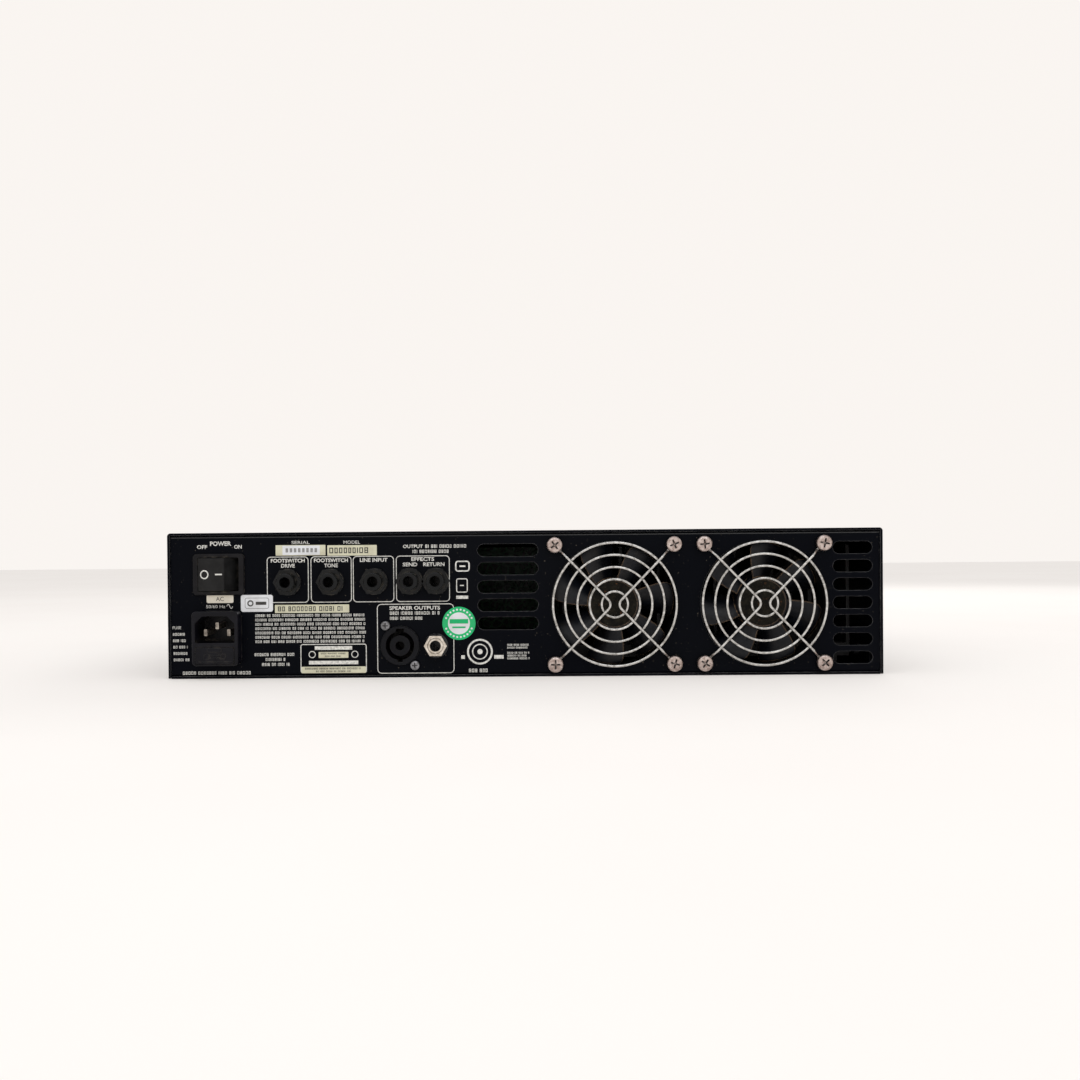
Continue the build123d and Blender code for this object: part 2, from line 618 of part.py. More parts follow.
def speaker_socket():
    """Barrel through the panel with a keyed ring well around a hollow core; its flange is behind the panel."""
    barrel = layer(Circle(LOCK_BARREL_R), -LOCK_DEPTH, LOCK_OUT)
    barrel = chamfer(barrel.edges().group_by(Axis.Z)[-1], 0.5)
    flange = layer(rounded(D_FLANGE, 2.5), -SHEET - 3, -SHEET)
    ring_well = tube(LOCK_WELL_R, LOCK_CORE_R, LOCK_OUT - 19, LOCK_OUT + 1)
    core_hole = layer(Circle(LOCK_CORE_HOLE_R), LOCK_OUT - 16, LOCK_OUT + 1)
    top_key = Pos(0, LOCK_WELL_R, LOCK_OUT - 8) * Box(5.0, 3.2, 18)
    low_key = Pos(0, -LOCK_WELL_R, LOCK_OUT - 8) * Box(3.2, 2.4, 18)
    holes = [Pos(*p) * Cylinder(M3_SHANK_R + SHAFT_GAP, 20) for p in lock_screws()]
    tabs = [Pos(x, y, -LOCK_DEPTH - 4) * Box(0.8, 4.8, 9) for x, y in corners(5, 4)]
    socket = barrel + flange - ring_well - core_hole - top_key - low_key - holes
    return rear_at(SPEAKER_SOCKET_AT) * (socket + tabs)


def speaker_socket_screws():
    screw = pan_screw(M3_HEAD, M3_SHANK_R, 8.0)
    return group(rear_at(SPEAKER_SOCKET_AT) * Pos(*p) * screw for p in lock_screws())


# === Fans ========================================================================================================
def fan_corners():
    return corners(FAN_HOLES / 2, FAN_HOLES / 2)


def ring(radius, out):
    return Pos(0, 0, out) * Torus(radius, WIRE_R)


def guard_spoke(side):
    """Wire from an upper eyelet in to the axis and back out to the lower eyelet on the same side."""
    corner = Vector(side * FAN_HOLES / 2, FAN_HOLES / 2, 0)
    apex = Vector(side * SPOKE_APEX, 0, 0)
    inward = (apex - corner).normalized()
    upper = [corner + inward * EYELET_R, corner + inward * (EYELET_R + 2), corner + inward * (EYELET_R + 7)]
    heights = (WIRE_R, WIRE_R, SPOKE_OUT)
    points = [(p.X, p.Y, h) for p, h in zip(upper, heights)]
    lower = [(x, -y, h) for x, y, h in reversed(points)]
    path = FilletPolyline(*points, (apex.X, 0, SPOKE_OUT), *lower, radius=SPOKE_BEND_R)
    section = Plane(origin=path @ 0, z_dir=path % 0) * Circle(WIRE_R)
    return sweep(section, path=path)


def fan_guard(x):
    """Five welded rings on two bent spokes that end in eyelets under the screws."""
    guard = guard_spoke(-1) + guard_spoke(1)
    for radius in GUARD_RINGS:
        guard += ring(radius, RING_OUT)
    guard += [Pos(*p) * ring(EYELET_R, WIRE_R) for p in fan_corners()]
    return rear_at((x, FAN_Z)) * guard


def fan_frame(x):
    """Moulded duct between two square flanges, with the motor plate and its four arms on the inner side."""
    low = -SHEET - FAN_DEPTH
    high = -SHEET
    plate = rounded((FAN_SIZE, FAN_SIZE), 4.0) - Circle(DUCT_R)
    frame = tube(DUCT_WALL_R, DUCT_R, low, high)
    frame += layer(plate, low, low + FAN_FLANGE_T)
    frame += layer(plate, high - FAN_FLANGE_T, high)
    arm = Pos((MOTOR_PLATE_R + DUCT_R) / 2, 0, low + MOTOR_PLATE_T / 2) * Box(DUCT_R - MOTOR_PLATE_R + 2, 5, MOTOR_PLATE_T)
    frame += [Rot(0, 0, 45 + 90 * i) * arm for i in range(4)]
    frame += layer(Circle(MOTOR_PLATE_R), low, low + MOTOR_PLATE_T)
    frame += layer(Circle(STATOR_R), low, low + MOTOR_PLATE_T + 11)
    shaft_hole = layer(Circle(SHAFT_R + SHAFT_GAP), low + 1, high)
    holes = [Pos(*p) * Cylinder(M5_SHANK_R + HOLE_GAP, 4 * FAN_DEPTH) for p in fan_corners()]
    return rear_at((x, FAN_Z)) * (frame - shaft_hole - holes)


def fan_blade():
    """Twisted blade whose chord grows towards its tip."""
    sections = []
    for radius, chord, pitch in ((HUB_R - 1, 17.0, 46.0), (26.0, 22.0, 37.0), (DUCT_R, 27.0, 28.0)):
        plane = Plane((radius, 0, 0), x_dir=(0, 1, 0), z_dir=(1, 0, 0))
        sections.append(plane * Rot(0, 0, pitch) * Rectangle(chord, BLADE_T))
    return loft(sections)


def fan_rotor(x, turn):
    """Hub cup with seven blades and its shaft."""
    high = -SHEET - HUB_RECESS
    cup = layer(Circle(HUB_R), high - HUB_L, high)
    cup = fillet(cup.edges().group_by(Axis.Z)[-1], 1.5)
    blade = Pos(0, 0, high - HUB_L / 2 - 1) * fan_blade()
    blades = [Rot(0, 0, turn + 360 / BLADES * i) * blade for i in range(BLADES)]
    blades = [b & Pos(0, 0, high - HUB_L / 2) * Cylinder(BLADE_TIP_R, 3 * HUB_L) for b in blades]
    hollow = layer(Circle(HUB_R - 1.8), high - HUB_L - 4, high - 2.5)
    shaft = layer(Circle(SHAFT_R), -SHEET - FAN_DEPTH + 2, high - 2)
    return rear_at((x, FAN_Z)) * (cup + blades - hollow + shaft)


def fan_screw_places():
    return [rear_at((x, FAN_Z)) * Pos(*p) for x in FAN_X.values() for p in fan_corners()]


def fan_screws():
    screw = pan_screw(M5_HEAD, M5_SHANK_R, 2 * WIRE_R + SHEET + FAN_DEPTH + 5)
    turned = [Pos(0, 0, 2 * WIRE_R) * Rot(0, 0, SCREW_TURN * i) * screw for i in range(len(fan_screw_places()))]
    return group(place * one for place, one in zip(fan_screw_places(), turned))


def fan_nuts():
    top = -SHEET - FAN_DEPTH
    nut = hex_nut(3.9, M5_SHANK_R + SHAFT_GAP, top - 3.2, top)
    return group(place * nut for place in fan_screw_places())


# === Front controls ==============================================================================================
def knob(at):
    """Fluted cap on a round shaft that turns in its potentiometer."""
    back = KNOB_FACE_GAP
    skirt = layer(Circle(KNOB_SKIRT_R), back, back + 2.5)
    grip = layer(Circle(KNOB_R), back + 2.5, KNOB_REACH)
    grip = chamfer(grip.edges().group_by(Axis.Z)[-1], 1.0)
    flute = Pos(KNOB_R + 0.9, 0, KNOB_REACH / 2 + 4) * Cylinder(1.5, KNOB_REACH)
    flutes = [Rot(0, 0, 360 / KNOB_FLUTES * (i + 0.5)) * flute for i in range(KNOB_FLUTES)]
    pointer = Pos(0, KNOB_R / 2 + 1, KNOB_REACH) * Box(1.2, KNOB_R - 2, 0.8)
    seat = layer(Circle(POT_BUSH_R + 1.5), back, back + 3.5)
    bore = layer(Circle(POT_SHAFT_R), back, KNOB_REACH - 4)
    cap = skirt + grip - flutes - pointer - seat - bore
    shaft = layer(Circle(POT_SHAFT_R), CONTROL_BACK + 2, KNOB_REACH - 4)
    return group([cap, shaft], front_at(at))


def potentiometers():
    case = layer(rounded((POT_CASE, POT_CASE), 1.5), CONTROL_BACK, BODY_FRONT)
    bush = layer(Circle(POT_BUSH_R), BODY_FRONT, 2.0)
    bore = layer(Circle(POT_SHAFT_R + SHAFT_GAP), CONTROL_BACK + 1, 3.0)
    pot = case + bush - bore
    return group(front_at(at) * pot for at in KNOBS_AT.values())


def fader(x):
    """Ribbed cap on a flat lever that slides up and down in its slot."""
    wide, tall = FADER_CAP
    cap = layer(rounded((wide, tall), 0.8), 1.0, 10.0)
    cap = chamfer(cap.faces().sort_by(Axis.Z)[-1].edges(), 0.7)
    grooves = [Pos(0, y, 10.0) * Box(2 * wide, 0.8, 1.2) for y in (-3.5, -1.75, 0.0, 1.75, 3.5)]
    lever = Pos(0, 0, (BODY_FRONT - 5 + 2) / 2) * Box(*FADER_LEVER, 2 - BODY_FRONT + 5)
    return front_at((x, FADER_Z)) * (cap - grooves + lever)


def fader_bodies():
    case = layer(rounded(FADER_CASE, 0.8), CONTROL_BACK, BODY_FRONT)
    track = layer(slot(FADER_SLOT[0], FADER_SLOT[1] - 0.4, 90), BODY_FRONT - 6, BODY_FRONT)
    body = case - track
    return group(front_at((x, FADER_Z)) * body for x in FADERS_AT.values())


def button(at):
    """Round cap on a square stem."""
    cap_back = BODY_FRONT + BUTTON_TRAVEL + 0.5
    cap = layer(Circle(BUTTON_R), cap_back, BUTTON_OUT)
    cap = fillet(cap.edges().group_by(Axis.Z)[-1], 0.8)
    stem_back = CONTROL_BACK + 1.2 + BUTTON_TRAVEL
    stem = layer(Rectangle(BUTTON_STEM, BUTTON_STEM), stem_back, cap_back)
    return front_at(at) * (cap + stem)


def button_switches():
    case = layer(Rectangle(SWITCH_BOX, SWITCH_BOX), CONTROL_BACK, BODY_FRONT)
    side = BUTTON_STEM + 2 * MOVING_GAP
    shaft = layer(Rectangle(side, side), CONTROL_BACK + 0.8, BODY_FRONT)
    body = case - shaft
    return group(front_at(at) * body for at in BUTTONS_AT.values())


def power_led():
    lens = layer(Circle(LED_R), -WALL_BACK - 2, 0.5)
    dome = Pos(0, 0, 0.5) * Sphere(LED_R)
    return front_at(LED_AT) * (lens + dome)


def meter_housing():
    """Open-fronted box with a scale plate that the needle swings in front of."""
    wide, tall = METER_CASE
    low = -PANEL_T - METER_DEPTH
    shell = layer(rounded(METER_CASE, 1.5), low, -PANEL_T)
    room = layer(Rectangle(wide - 2 * METER_WALL, tall - 2 * METER_WALL), low + METER_WALL, -PANEL_T)
    plate = layer(Rectangle(wide - 2 * METER_WALL, tall - 2 * METER_WALL), -PANEL_T - 12, -PANEL_T - 11)
    pivot = Pos(0, -METER_PIVOT_DOWN) * layer(Circle(NEEDLE_AXLE_R + SHAFT_GAP), low + METER_WALL, -PANEL_T)
    return front_at(METER_AT) * (shell - room + plate - pivot)


def meter_window():
    wide, tall = METER_CASE
    pane = Rectangle(wide - 2 * METER_WALL - 0.2, tall - 2 * METER_WALL - 0.2)
    return front_at(METER_AT) * layer(pane, -PANEL_T - SHEET, -PANEL_T)


def meter_needle():
    """Pointer on a small hub, resting at the left end of its scale."""
    out = -PANEL_T - 7
    hub = layer(Circle(2.2), out - 1.5, out + 1)
    axle = layer(Circle(NEEDLE_AXLE_R), -PANEL_T - 20, out)
    blade = Pos(0, NEEDLE_L / 2, out) * Box(0.7, NEEDLE_L, 0.5)
    tail = Pos(0, -2.5, out) * Box(1.6, 5, 0.5)
    needle = Rot(0, 0, NEEDLE_REST) * (hub + axle + blade + tail)
    return front_at(METER_AT) * Pos(0, -METER_PIVOT_DOWN) * needle


def di_socket():
    """Three-pin balanced output socket on a screwed flange."""
    flange = layer(rounded(D_FLANGE, 2.5), 0, XLR_FLANGE_T)
    flange = fillet(flange.faces().sort_by(Axis.Z)[-1].edges(), 0.6)
    shell = layer(Circle(XLR_SHELL_R), -22, 1)
    well = layer(Circle(XLR_WELL_R), XLR_FLANGE_T - XLR_WELL_DEPTH, XLR_FLANGE_T + 1)
    holes = [Pos(*p) * Cylinder(M3_SHANK_R + SHAFT_GAP, 10) for p in XLR_SCREWS]
    socket = flange + shell - well - holes
    pin = Pos(0, XLR_PIN_CIRCLE) * layer(Circle(XLR_PIN_R), -27, -1.5)
    return front_at(DI_AT) * (socket + [Rot(0, 0, angle) * pin for angle in (60, 180, 300)])


# === Inside ======================================================================================================
def floor_post_places():
    """Screw centres of the amplifier board."""
    return [(x, y) for x in (AMP_BOARD_X[0] + BOARD_EDGE, AMP_BOARD_X[1] - BOARD_EDGE)
            for y in (AMP_BOARD_Y[0] + BOARD_EDGE, AMP_BOARD_Y[1] - BOARD_EDGE)]


def wall_post_places():
    """Screw centres of the upright boards, as X and Z."""
    preamp = [(x, z) for x in (PREAMP_BOARD_X[0] + BOARD_EDGE, PREAMP_BOARD_X[1] - BOARD_EDGE)
              for z in (PREAMP_BOARD_Z[0] + BOARD_EDGE, PREAMP_BOARD_Z[1] - BOARD_EDGE)]
    return preamp + list(PAD_BOARD_POSTS)


def transformer():
    """Wound ring."""
    x, y = TOROID_AT
    ring_body = Pos(x, y, SHEET + 1.5) * tube(TOROID_R, TOROID_HOLE_R, 0, TOROID_H)
    return fillet(ring_body.edges().filter_by(GeomType.CIRCLE), 9.0)


def transformer_fixings():
    """Rubber pad under the ring, dished clamp plate over it, and the bolt through both."""
    x, y = TOROID_AT
    top = SHEET + 1.5 + TOROID_H
    bolt_r = M4_SHANK_R + 1
    pad = tube(TOROID_R - 8, bolt_r + 0.2, SHEET, SHEET + 1.5)
    plate = tube(TOROID_R - 12, bolt_r + 0.2, top, top + 2)
    bolt = layer(Circle(bolt_r), 0.2, top + 8)
    head = layer(hexagon(5.0), top + 8, top + 12) + tube(7.0, bolt_r, top + 6.5, top + 8)
    spacer = tube(7.0, bolt_r + 0.2, top + 2, top + 6.5)
    return group([pad, plate, spacer, bolt + head], Pos(x, y))


def heatsink():
    """Finned extrusion along the air flow, with a bare step in front for the output transistors."""
    x0, x1 = HEATSINK_X
    y0, y1 = HEATSINK_Y
    z0, z1 = HEATSINK_Z
    sink = block(x0, x1, y0 - HEATSINK_STEP, y1, z0, z0 + HEATSINK_BASE)
    pitch = (x1 - x0 - FIN_T) / (FINS - 1)
    sink += [block(x0 + pitch * i, x0 + pitch * i + FIN_T, y0, y1, z0, z1) for i in range(FINS)]
    wide, inset = HEATSINK_FOOT
    feet = [block(x, x + wide, y0, y1, SHEET, z0) for x in (x0 + inset, x1 - inset - wide)]
    return sink + feet


def output_transistors():
    """Flat plastic packages on the heatsink's step."""
    wide, tall, thick = TRANSISTOR
    x0, x1 = HEATSINK_X
    pitch = (x1 - x0) / TRANSISTORS
    z = HEATSINK_Z[0] + HEATSINK_BASE
    y = HEATSINK_Y[0] - HEATSINK_STEP / 2
    hole = Pos(0, y + tall / 4, z) * Cylinder(TRANSISTOR_HOLE_R, 3 * thick)
    case = Pos(0, y, z + thick / 2) * Box(wide, tall, thick) - hole
    return group(Pos(x0 + pitch * (i + 0.5), 0, 0) * case for i in range(TRANSISTORS))


def amplifier_board():
    board = block(*AMP_BOARD_X, *AMP_BOARD_Y, BOARD_Z, BOARD_Z + BOARD_T)
    return board - [Pos(x, y, BOARD_Z) * Cylinder(M3_SHANK_R + HOLE_GAP, 8) for x, y in floor_post_places()]


def reservoir_capacitors():
    z = BOARD_Z + BOARD_T
    can = layer(Circle(CAPACITOR_R), 0, CAPACITOR_H)
    can = fillet(can.edges().group_by(Axis.Z)[-1], 1.5)
    return group(Pos(x, CAPACITOR_Y, z) * can for x in CAPACITORS_X)


def preamp_board():
    """Upright board behind the controls, and the small one behind the pad button."""
    back = Y_FACE - CONTROL_BACK
    holes = [front_at(at) * Cylinder(M3_SHANK_R + HOLE_GAP, 60) for at in wall_post_places()]
    main_board = block(*PREAMP_BOARD_X, back, back + BOARD_T, *PREAMP_BOARD_Z)
    pad_board = block(*PAD_BOARD_X, back, back + BOARD_T, *PAD_BOARD_Z)
    return group([main_board - holes, pad_board - holes])


def jack_board():
    """Board under the rear jacks."""
    margin, deep, gap = JACK_BOARD
    top = JACK_Z - JACK_CASE[1] / 2
    back = REAR_INSIDE - gap
    return block(min(JACK_X) - margin, max(JACK_X) + margin, back - deep, back, top - BOARD_T, top)


def board_standoffs():
    floor_post = layer(hexagon(STANDOFF_R) - Circle(M3_SHANK_R + SHAFT_GAP), SHEET, BOARD_Z)
    wall_post = layer(hexagon(STANDOFF_R) - Circle(M3_SHANK_R + SHAFT_GAP), CONTROL_BACK, -WALL_BACK)
    posts = [Pos(x, y, 0) * floor_post for x, y in floor_post_places()]
    posts += [front_at(at) * wall_post for at in wall_post_places()]
    return group(posts)


def board_screws():
    screw = pan_screw(M3_HEAD, M3_SHANK_R, 6.0)
    screws = [Pos(x, y, BOARD_Z + BOARD_T) * screw for x, y in floor_post_places()]
    back = CONTROL_BACK - BOARD_T
    screws += [front_at(at) * Pos(0, 0, back) * Rot(180, 0, 0) * screw for at in wall_post_places()]
    return group(screws)


def valve_socket():
    x, y = VALVE_AT
    base = tube(SOCKET_R, 4.0, SHEET, SHEET + SOCKET_H)
    lugs = layer(rounded((34.0, 10.0), 4.0), SHEET, SHEET + 2)
    pin_hole = Pos(6.0, 0, SHEET + SOCKET_H) * Cylinder(0.8, 18)
    holes = [Rot(0, 0, 36 * i) * pin_hole for i in range(9)]
    return Pos(x, y) * (base + lugs - layer(Circle(4.0), 0, 20) - holes)


def preamp_valve():
    """Nine-pin miniature valve with its pip."""
    x, y = VALVE_AT
    low = SHEET + SOCKET_H
    bulb = layer(Circle(VALVE_R), low, low + VALVE_H)
    bulb = fillet(bulb.edges().group_by(Axis.Z)[-1], 7.0)
    pip = Pos(0, 0, low + VALVE_H) * Cone(2.2, 0.6, 6)
    pin = Pos(6.0, 0, low - 3.5) * Cylinder(0.5, 8)
    return Pos(x, y) * (bulb + pip + [Rot(0, 0, 36 * i) * pin for i in range(9)])


# === Nodes =======================================================================================================
def all_nodes():
    nodes = {
        "base_tray": base_tray(),
        "rear_panel": rear_panel(),
        "top_cover": top_cover(),
        "cover_screws": cover_screws(),
        "front_panel": front_panel(),
        "front_screws": front_screws(),
        "power_switch_body": power_switch_body(),
        "power_rocker": power_rocker(),
        "inlet_body": inlet_body(),
        "inlet_pins": inlet_pins(),
        "fuse_drawer": fuse_drawer(),
        "fuse": fuse(),
        "rear_jacks": rear_jacks(),
        "jack_nuts": jack_nuts(),
        "input_jack": input_jack(),
        "speaker_jack": speaker_jack(),
        "speaker_jack_fasteners": speaker_jack_fasteners(),
        "speaker_socket": speaker_socket(),
        "speaker_socket_screws": speaker_socket_screws(),
        "fan_screws": fan_screws(),
        "fan_nuts": fan_nuts(),
        "potentiometers": potentiometers(),
        "fader_bodies": fader_bodies(),
        "button_switches": button_switches(),
        "power_led": power_led(),
        "meter_housing": meter_housing(),
        "meter_window": meter_window(),
        "meter_needle": meter_needle(),
        "di_socket": di_socket(),
        "transformer": transformer(),
        "transformer_fixings": transformer_fixings(),
        "heatsink": heatsink(),
        "output_transistors": output_transistors(),
        "amplifier_board": amplifier_board(),
        "reservoir_capacitors": reservoir_capacitors(),
        "preamp_board": preamp_board(),
        "jack_board": jack_board(),
        "board_standoffs": board_standoffs(),
        "board_screws": board_screws(),
        "valve_socket": valve_socket(),
        "preamp_valve": preamp_valve(),
    }
    for side, x in FAN_X.items():
        nodes[f"{side}_fan_guard"] = fan_guard(x)
        nodes[f"{side}_fan_frame"] = fan_frame(x)
        nodes[f"{side}_fan_rotor"] = fan_rotor(x, FAN_TURN[side])
    for name, at in KNOBS_AT.items():
        nodes[f"{name}_knob"] = knob(at)
    for name, x in FADERS_AT.items():
        nodes[f"{name}_fader"] = fader(x)
    for name, at in BUTTONS_AT.items():
        nodes[f"{name}_button"] = button(at)
    return nodes


def main():
    os.makedirs("parts", exist_ok=True)
    for name, shape in all_nodes().items():
        export_step(shape, f"parts/{name}.step")


main()
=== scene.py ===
import json
import math
import random

import bmesh
import bpy
from mathutils import Matrix, Vector
from mathutils.bvhtree import BVHTree


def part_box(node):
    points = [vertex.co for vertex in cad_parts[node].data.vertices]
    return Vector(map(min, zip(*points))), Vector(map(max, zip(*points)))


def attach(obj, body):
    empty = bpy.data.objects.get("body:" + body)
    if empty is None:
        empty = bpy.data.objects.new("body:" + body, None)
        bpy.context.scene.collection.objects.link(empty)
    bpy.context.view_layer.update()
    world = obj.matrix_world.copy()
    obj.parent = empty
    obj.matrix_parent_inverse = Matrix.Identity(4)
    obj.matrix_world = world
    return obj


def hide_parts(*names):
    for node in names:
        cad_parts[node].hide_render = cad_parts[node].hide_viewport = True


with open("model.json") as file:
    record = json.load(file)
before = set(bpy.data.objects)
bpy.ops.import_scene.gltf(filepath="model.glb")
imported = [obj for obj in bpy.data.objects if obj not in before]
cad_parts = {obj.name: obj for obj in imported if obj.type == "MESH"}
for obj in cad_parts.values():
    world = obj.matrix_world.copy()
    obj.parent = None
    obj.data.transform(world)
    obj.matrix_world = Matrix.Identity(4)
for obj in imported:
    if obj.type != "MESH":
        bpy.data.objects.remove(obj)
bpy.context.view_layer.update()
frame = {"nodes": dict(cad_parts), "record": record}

# Two-unit rack amplifier, seen from its connector side. Lengths named below are in millimetres; MM turns them into
# the scene's metres. On each face, u runs to the right and v up for a person looking at that face.
MM = 0.001
REAR_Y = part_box("rear_panel")[1].y / MM
FRONT_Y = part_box("front_panel")[0].y / MM

PRINT_T = 0.04
STICKER_T = 0.12
LINE_W = 0.45
CAP_H = 2.3
SMALL_H = 1.55
CELL_STROKE = 0.17
BAR_SHARE = 0.22
CROSSED_SHARE = 0.68
RAY_START = 100.0
SHARP_ANGLE = 35.0

FAN_V = 43.2
FAN_U = {"left": 54.3, "right": 143.9}


# === Faces and flat shapes ======================================================================================
class Face:
    """A place to draw on: u to its viewer's right, v up and w out of it."""

    def __init__(self, origin, right, out):
        self.origin = Vector(origin)
        self.right = Vector(right)
        self.out = Vector(out)
        self.up = self.out.cross(self.right)

    def at(self, u, v, w=0.0):
        return (self.origin + self.right * u + self.up * v + self.out * w) * MM

    def moved(self, u, v, w=0.0):
        return Face(self.at(u, v, w) / MM, self.right, self.out)


REAR = Face((0, REAR_Y, 0), (-1, 0, 0), (0, 1, 0))
FRONT = Face((0, FRONT_Y, 0), (1, 0, 0), (0, -1, 0))


def circle_loop(u, v, radius, steps=48, start=0.0):
    angles = [start + 2 * math.pi * i / steps for i in range(steps)]
    return [(u + radius * math.cos(a), v + radius * math.sin(a)) for a in angles]


def rounded_loop(u0, u1, v0, v1, radius, steps=6):
    """Rectangle with arcs at its corners, anticlockwise from the lower right."""
    loop = []
    left, right, low, high = u0 + radius, u1 - radius, v0 + radius, v1 - radius
    for corner, (u, v) in enumerate(((right, low), (right, high), (left, high), (left, low))):
        for i in range(steps + 1):
            angle = math.radians(-90 + 90 * corner + 90 * i / steps)
            loop.append((u + radius * math.cos(angle), v + radius * math.sin(angle)))
    return loop


def centred(u, v, wide, tall, radius):
    return rounded_loop(u - wide / 2, u + wide / 2, v - tall / 2, v + tall / 2, radius)


class Sheet:
    """Thin closed shapes gathered into one mesh on a face."""

    def __init__(self, face, thickness=PRINT_T, lift=0.0):
        self.face = face
        self.low = lift
        self.high = lift + thickness
        self.mesh = bmesh.new()

    def loop(self, points, w):
        return [self.mesh.verts.new(self.face.at(u, v, w)) for u, v in points]

    def wall(self, lower, upper):
        for i in range(len(lower)):
            j = (i + 1) % len(lower)
            self.mesh.faces.new((lower[i], lower[j], upper[j], upper[i]))

    def fill(self, points):
        """A filled outline, anticlockwise to its viewer."""
        lower = self.loop(points, self.low)
        upper = self.loop(points, self.high)
        self.mesh.faces.new(upper)
        self.mesh.faces.new(lower[::-1])
        self.wall(lower, upper)

    def band(self, outer, inner):
        """The strip between two outlines of equal count."""
        places = ((outer, self.low), (outer, self.high), (inner, self.high), (inner, self.low))
        loops = [self.loop(points, w) for points, w in places]
        for i in range(4):
            self.wall(loops[i], loops[(i + 1) % 4])

    def outline(self, u0, u1, v0, v1, radius, width=LINE_W):
        half = width / 2
        outer = rounded_loop(u0 - half, u1 + half, v0 - half, v1 + half, radius + half)
        inner = rounded_loop(u0 + half, u1 - half, v0 + half, v1 - half, radius - half)
        self.band(outer, inner)

    def ring(self, u, v, radius, width):
        self.band(circle_loop(u, v, radius + width / 2), circle_loop(u, v, radius - width / 2))

    def stroke(self, points, width):
        """A line of even width along open points."""
        vectors = [Vector(p) for p in points]
        left, right = [], []
        for i, p in enumerate(vectors):
            along = vectors[min(i + 1, len(vectors) - 1)] - vectors[max(i - 1, 0)]
            across = Vector((-along.y, along.x)).normalized() * width / 2
            left.append(tuple(p + across))
            right.append(tuple(p - across))
        self.fill(right + left[::-1])

    def bar(self, u0, u1, v, tall):
        self.fill([(u0, v - tall / 2), (u1, v - tall / 2), (u1, v + tall / 2), (u0, v + tall / 2)])

    def words(self, text, u, v, tall, wide=None, weight=0.026):
        """Generic lettering of the given height, squeezed to a width when one is given."""
        curve = bpy.data.curves.new("lettering", "FONT")
        curve.body = text
        curve.align_x = "CENTER"
        curve.extrude = 0.5
        curve.offset = weight
        curve.resolution_u = 3
        holder = bpy.data.objects.new("lettering", curve)
        bpy.context.scene.collection.objects.link(holder)
        bpy.context.view_layer.update()
        shape = bpy.data.meshes.new_from_object(holder.evaluated_get(bpy.context.evaluated_depsgraph_get()))
        us = [p.co.x for p in shape.vertices]
        vs = [p.co.y for p in shape.vertices]
        grow_v = tall / (max(vs) - min(vs))
        grow_u = wide / (max(us) - min(us)) if wide else grow_v
        middle = (max(vs) + min(vs)) / 2
        for p in shape.vertices:
            w = self.high if p.co.z > 0 else self.low
            p.co = self.face.at(u + p.co.x * grow_u, v + (p.co.y - middle) * grow_v, w)
        self.mesh.from_mesh(shape)
        bpy.data.objects.remove(holder)
        bpy.data.curves.remove(curve)
        bpy.data.meshes.remove(shape)

    def blocks(self, u0, u1, v, tall, seed):
        """A line of small open cells and bars, spaced like words, where the real unit has a sentence."""
        draw = random.Random(seed)
        line = CELL_STROKE * tall
        u = u0
        while u < u1 - 0.5 * tall:
            for _ in range(draw.randint(2, 9)):
                wide = tall * draw.uniform(0.50, 0.72)
                if u + wide > u1:
                    break
                kind = draw.random()
                if kind < BAR_SHARE:
                    wide = line
                    self.bar(u, u + wide, v, tall)
                else:
                    self.cell(u, u + wide, v, tall, line)
                    if kind > CROSSED_SHARE:
                        self.bar(u + line, u + wide - line, v, line)
                u += wide + 0.24 * tall
            u += 0.50 * tall

    def cell(self, u0, u1, v, tall, line):
        """A small open rectangle."""
        low, high = v - tall / 2, v + tall / 2
        outer = [(u0, low), (u1, low), (u1, high), (u0, high)]
        inner = [(u0 + line, low + line), (u1 - line, low + line), (u1 - line, high - line), (u0 + line, high - line)]
        self.band(outer, inner)

    def paragraph(self, u0, u1, v_top, lines, pitch, tall, seed):
        for i in range(lines):
            self.blocks(u0, u1, v_top - pitch * i - tall / 2, tall, seed + i)

    def finish(self, name, material, body="chassis", onto=None):
        """Makes the object; onto is a CAD node whose surface the shapes then follow."""
        bmesh.ops.remove_doubles(self.mesh, verts=self.mesh.verts, dist=2e-6)
        bmesh.ops.recalc_face_normals(self.mesh, faces=self.mesh.faces)
        if onto:
            self.settle(onto)
        return piece(name, self.mesh, material, body)

    def settle(self, node):
        """Drops every vertex along w to its height above a CAD node's surface."""
        source = frame["nodes"][node].data
        tree = BVHTree.FromPolygons([v.co for v in source.vertices], [p.vertices for p in source.polygons])
        for vert in self.mesh.verts:
            height = (vert.co / MM - self.face.origin).dot(self.face.out)
            start = vert.co + self.face.out * (RAY_START - height) * MM
            hit = tree.ray_cast(start, -self.face.out)[0]
            if hit:
                vert.co = hit + self.face.out * height * MM


def piece(name, mesh, material, body, smooth=False):
    """Turns a bmesh into an object that rides on a body."""
    data = bpy.data.meshes.new(name)
    mesh.to_mesh(data)
    mesh.free()
    data.materials.append(material)
    data.shade_smooth() if smooth else data.shade_flat()
    made = bpy.data.objects.new(name, data)
    bpy.context.scene.collection.objects.link(made)
    if smooth:
        data.set_sharp_from_angle(angle=math.radians(SHARP_ANGLE))
    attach(made, body)
    return made


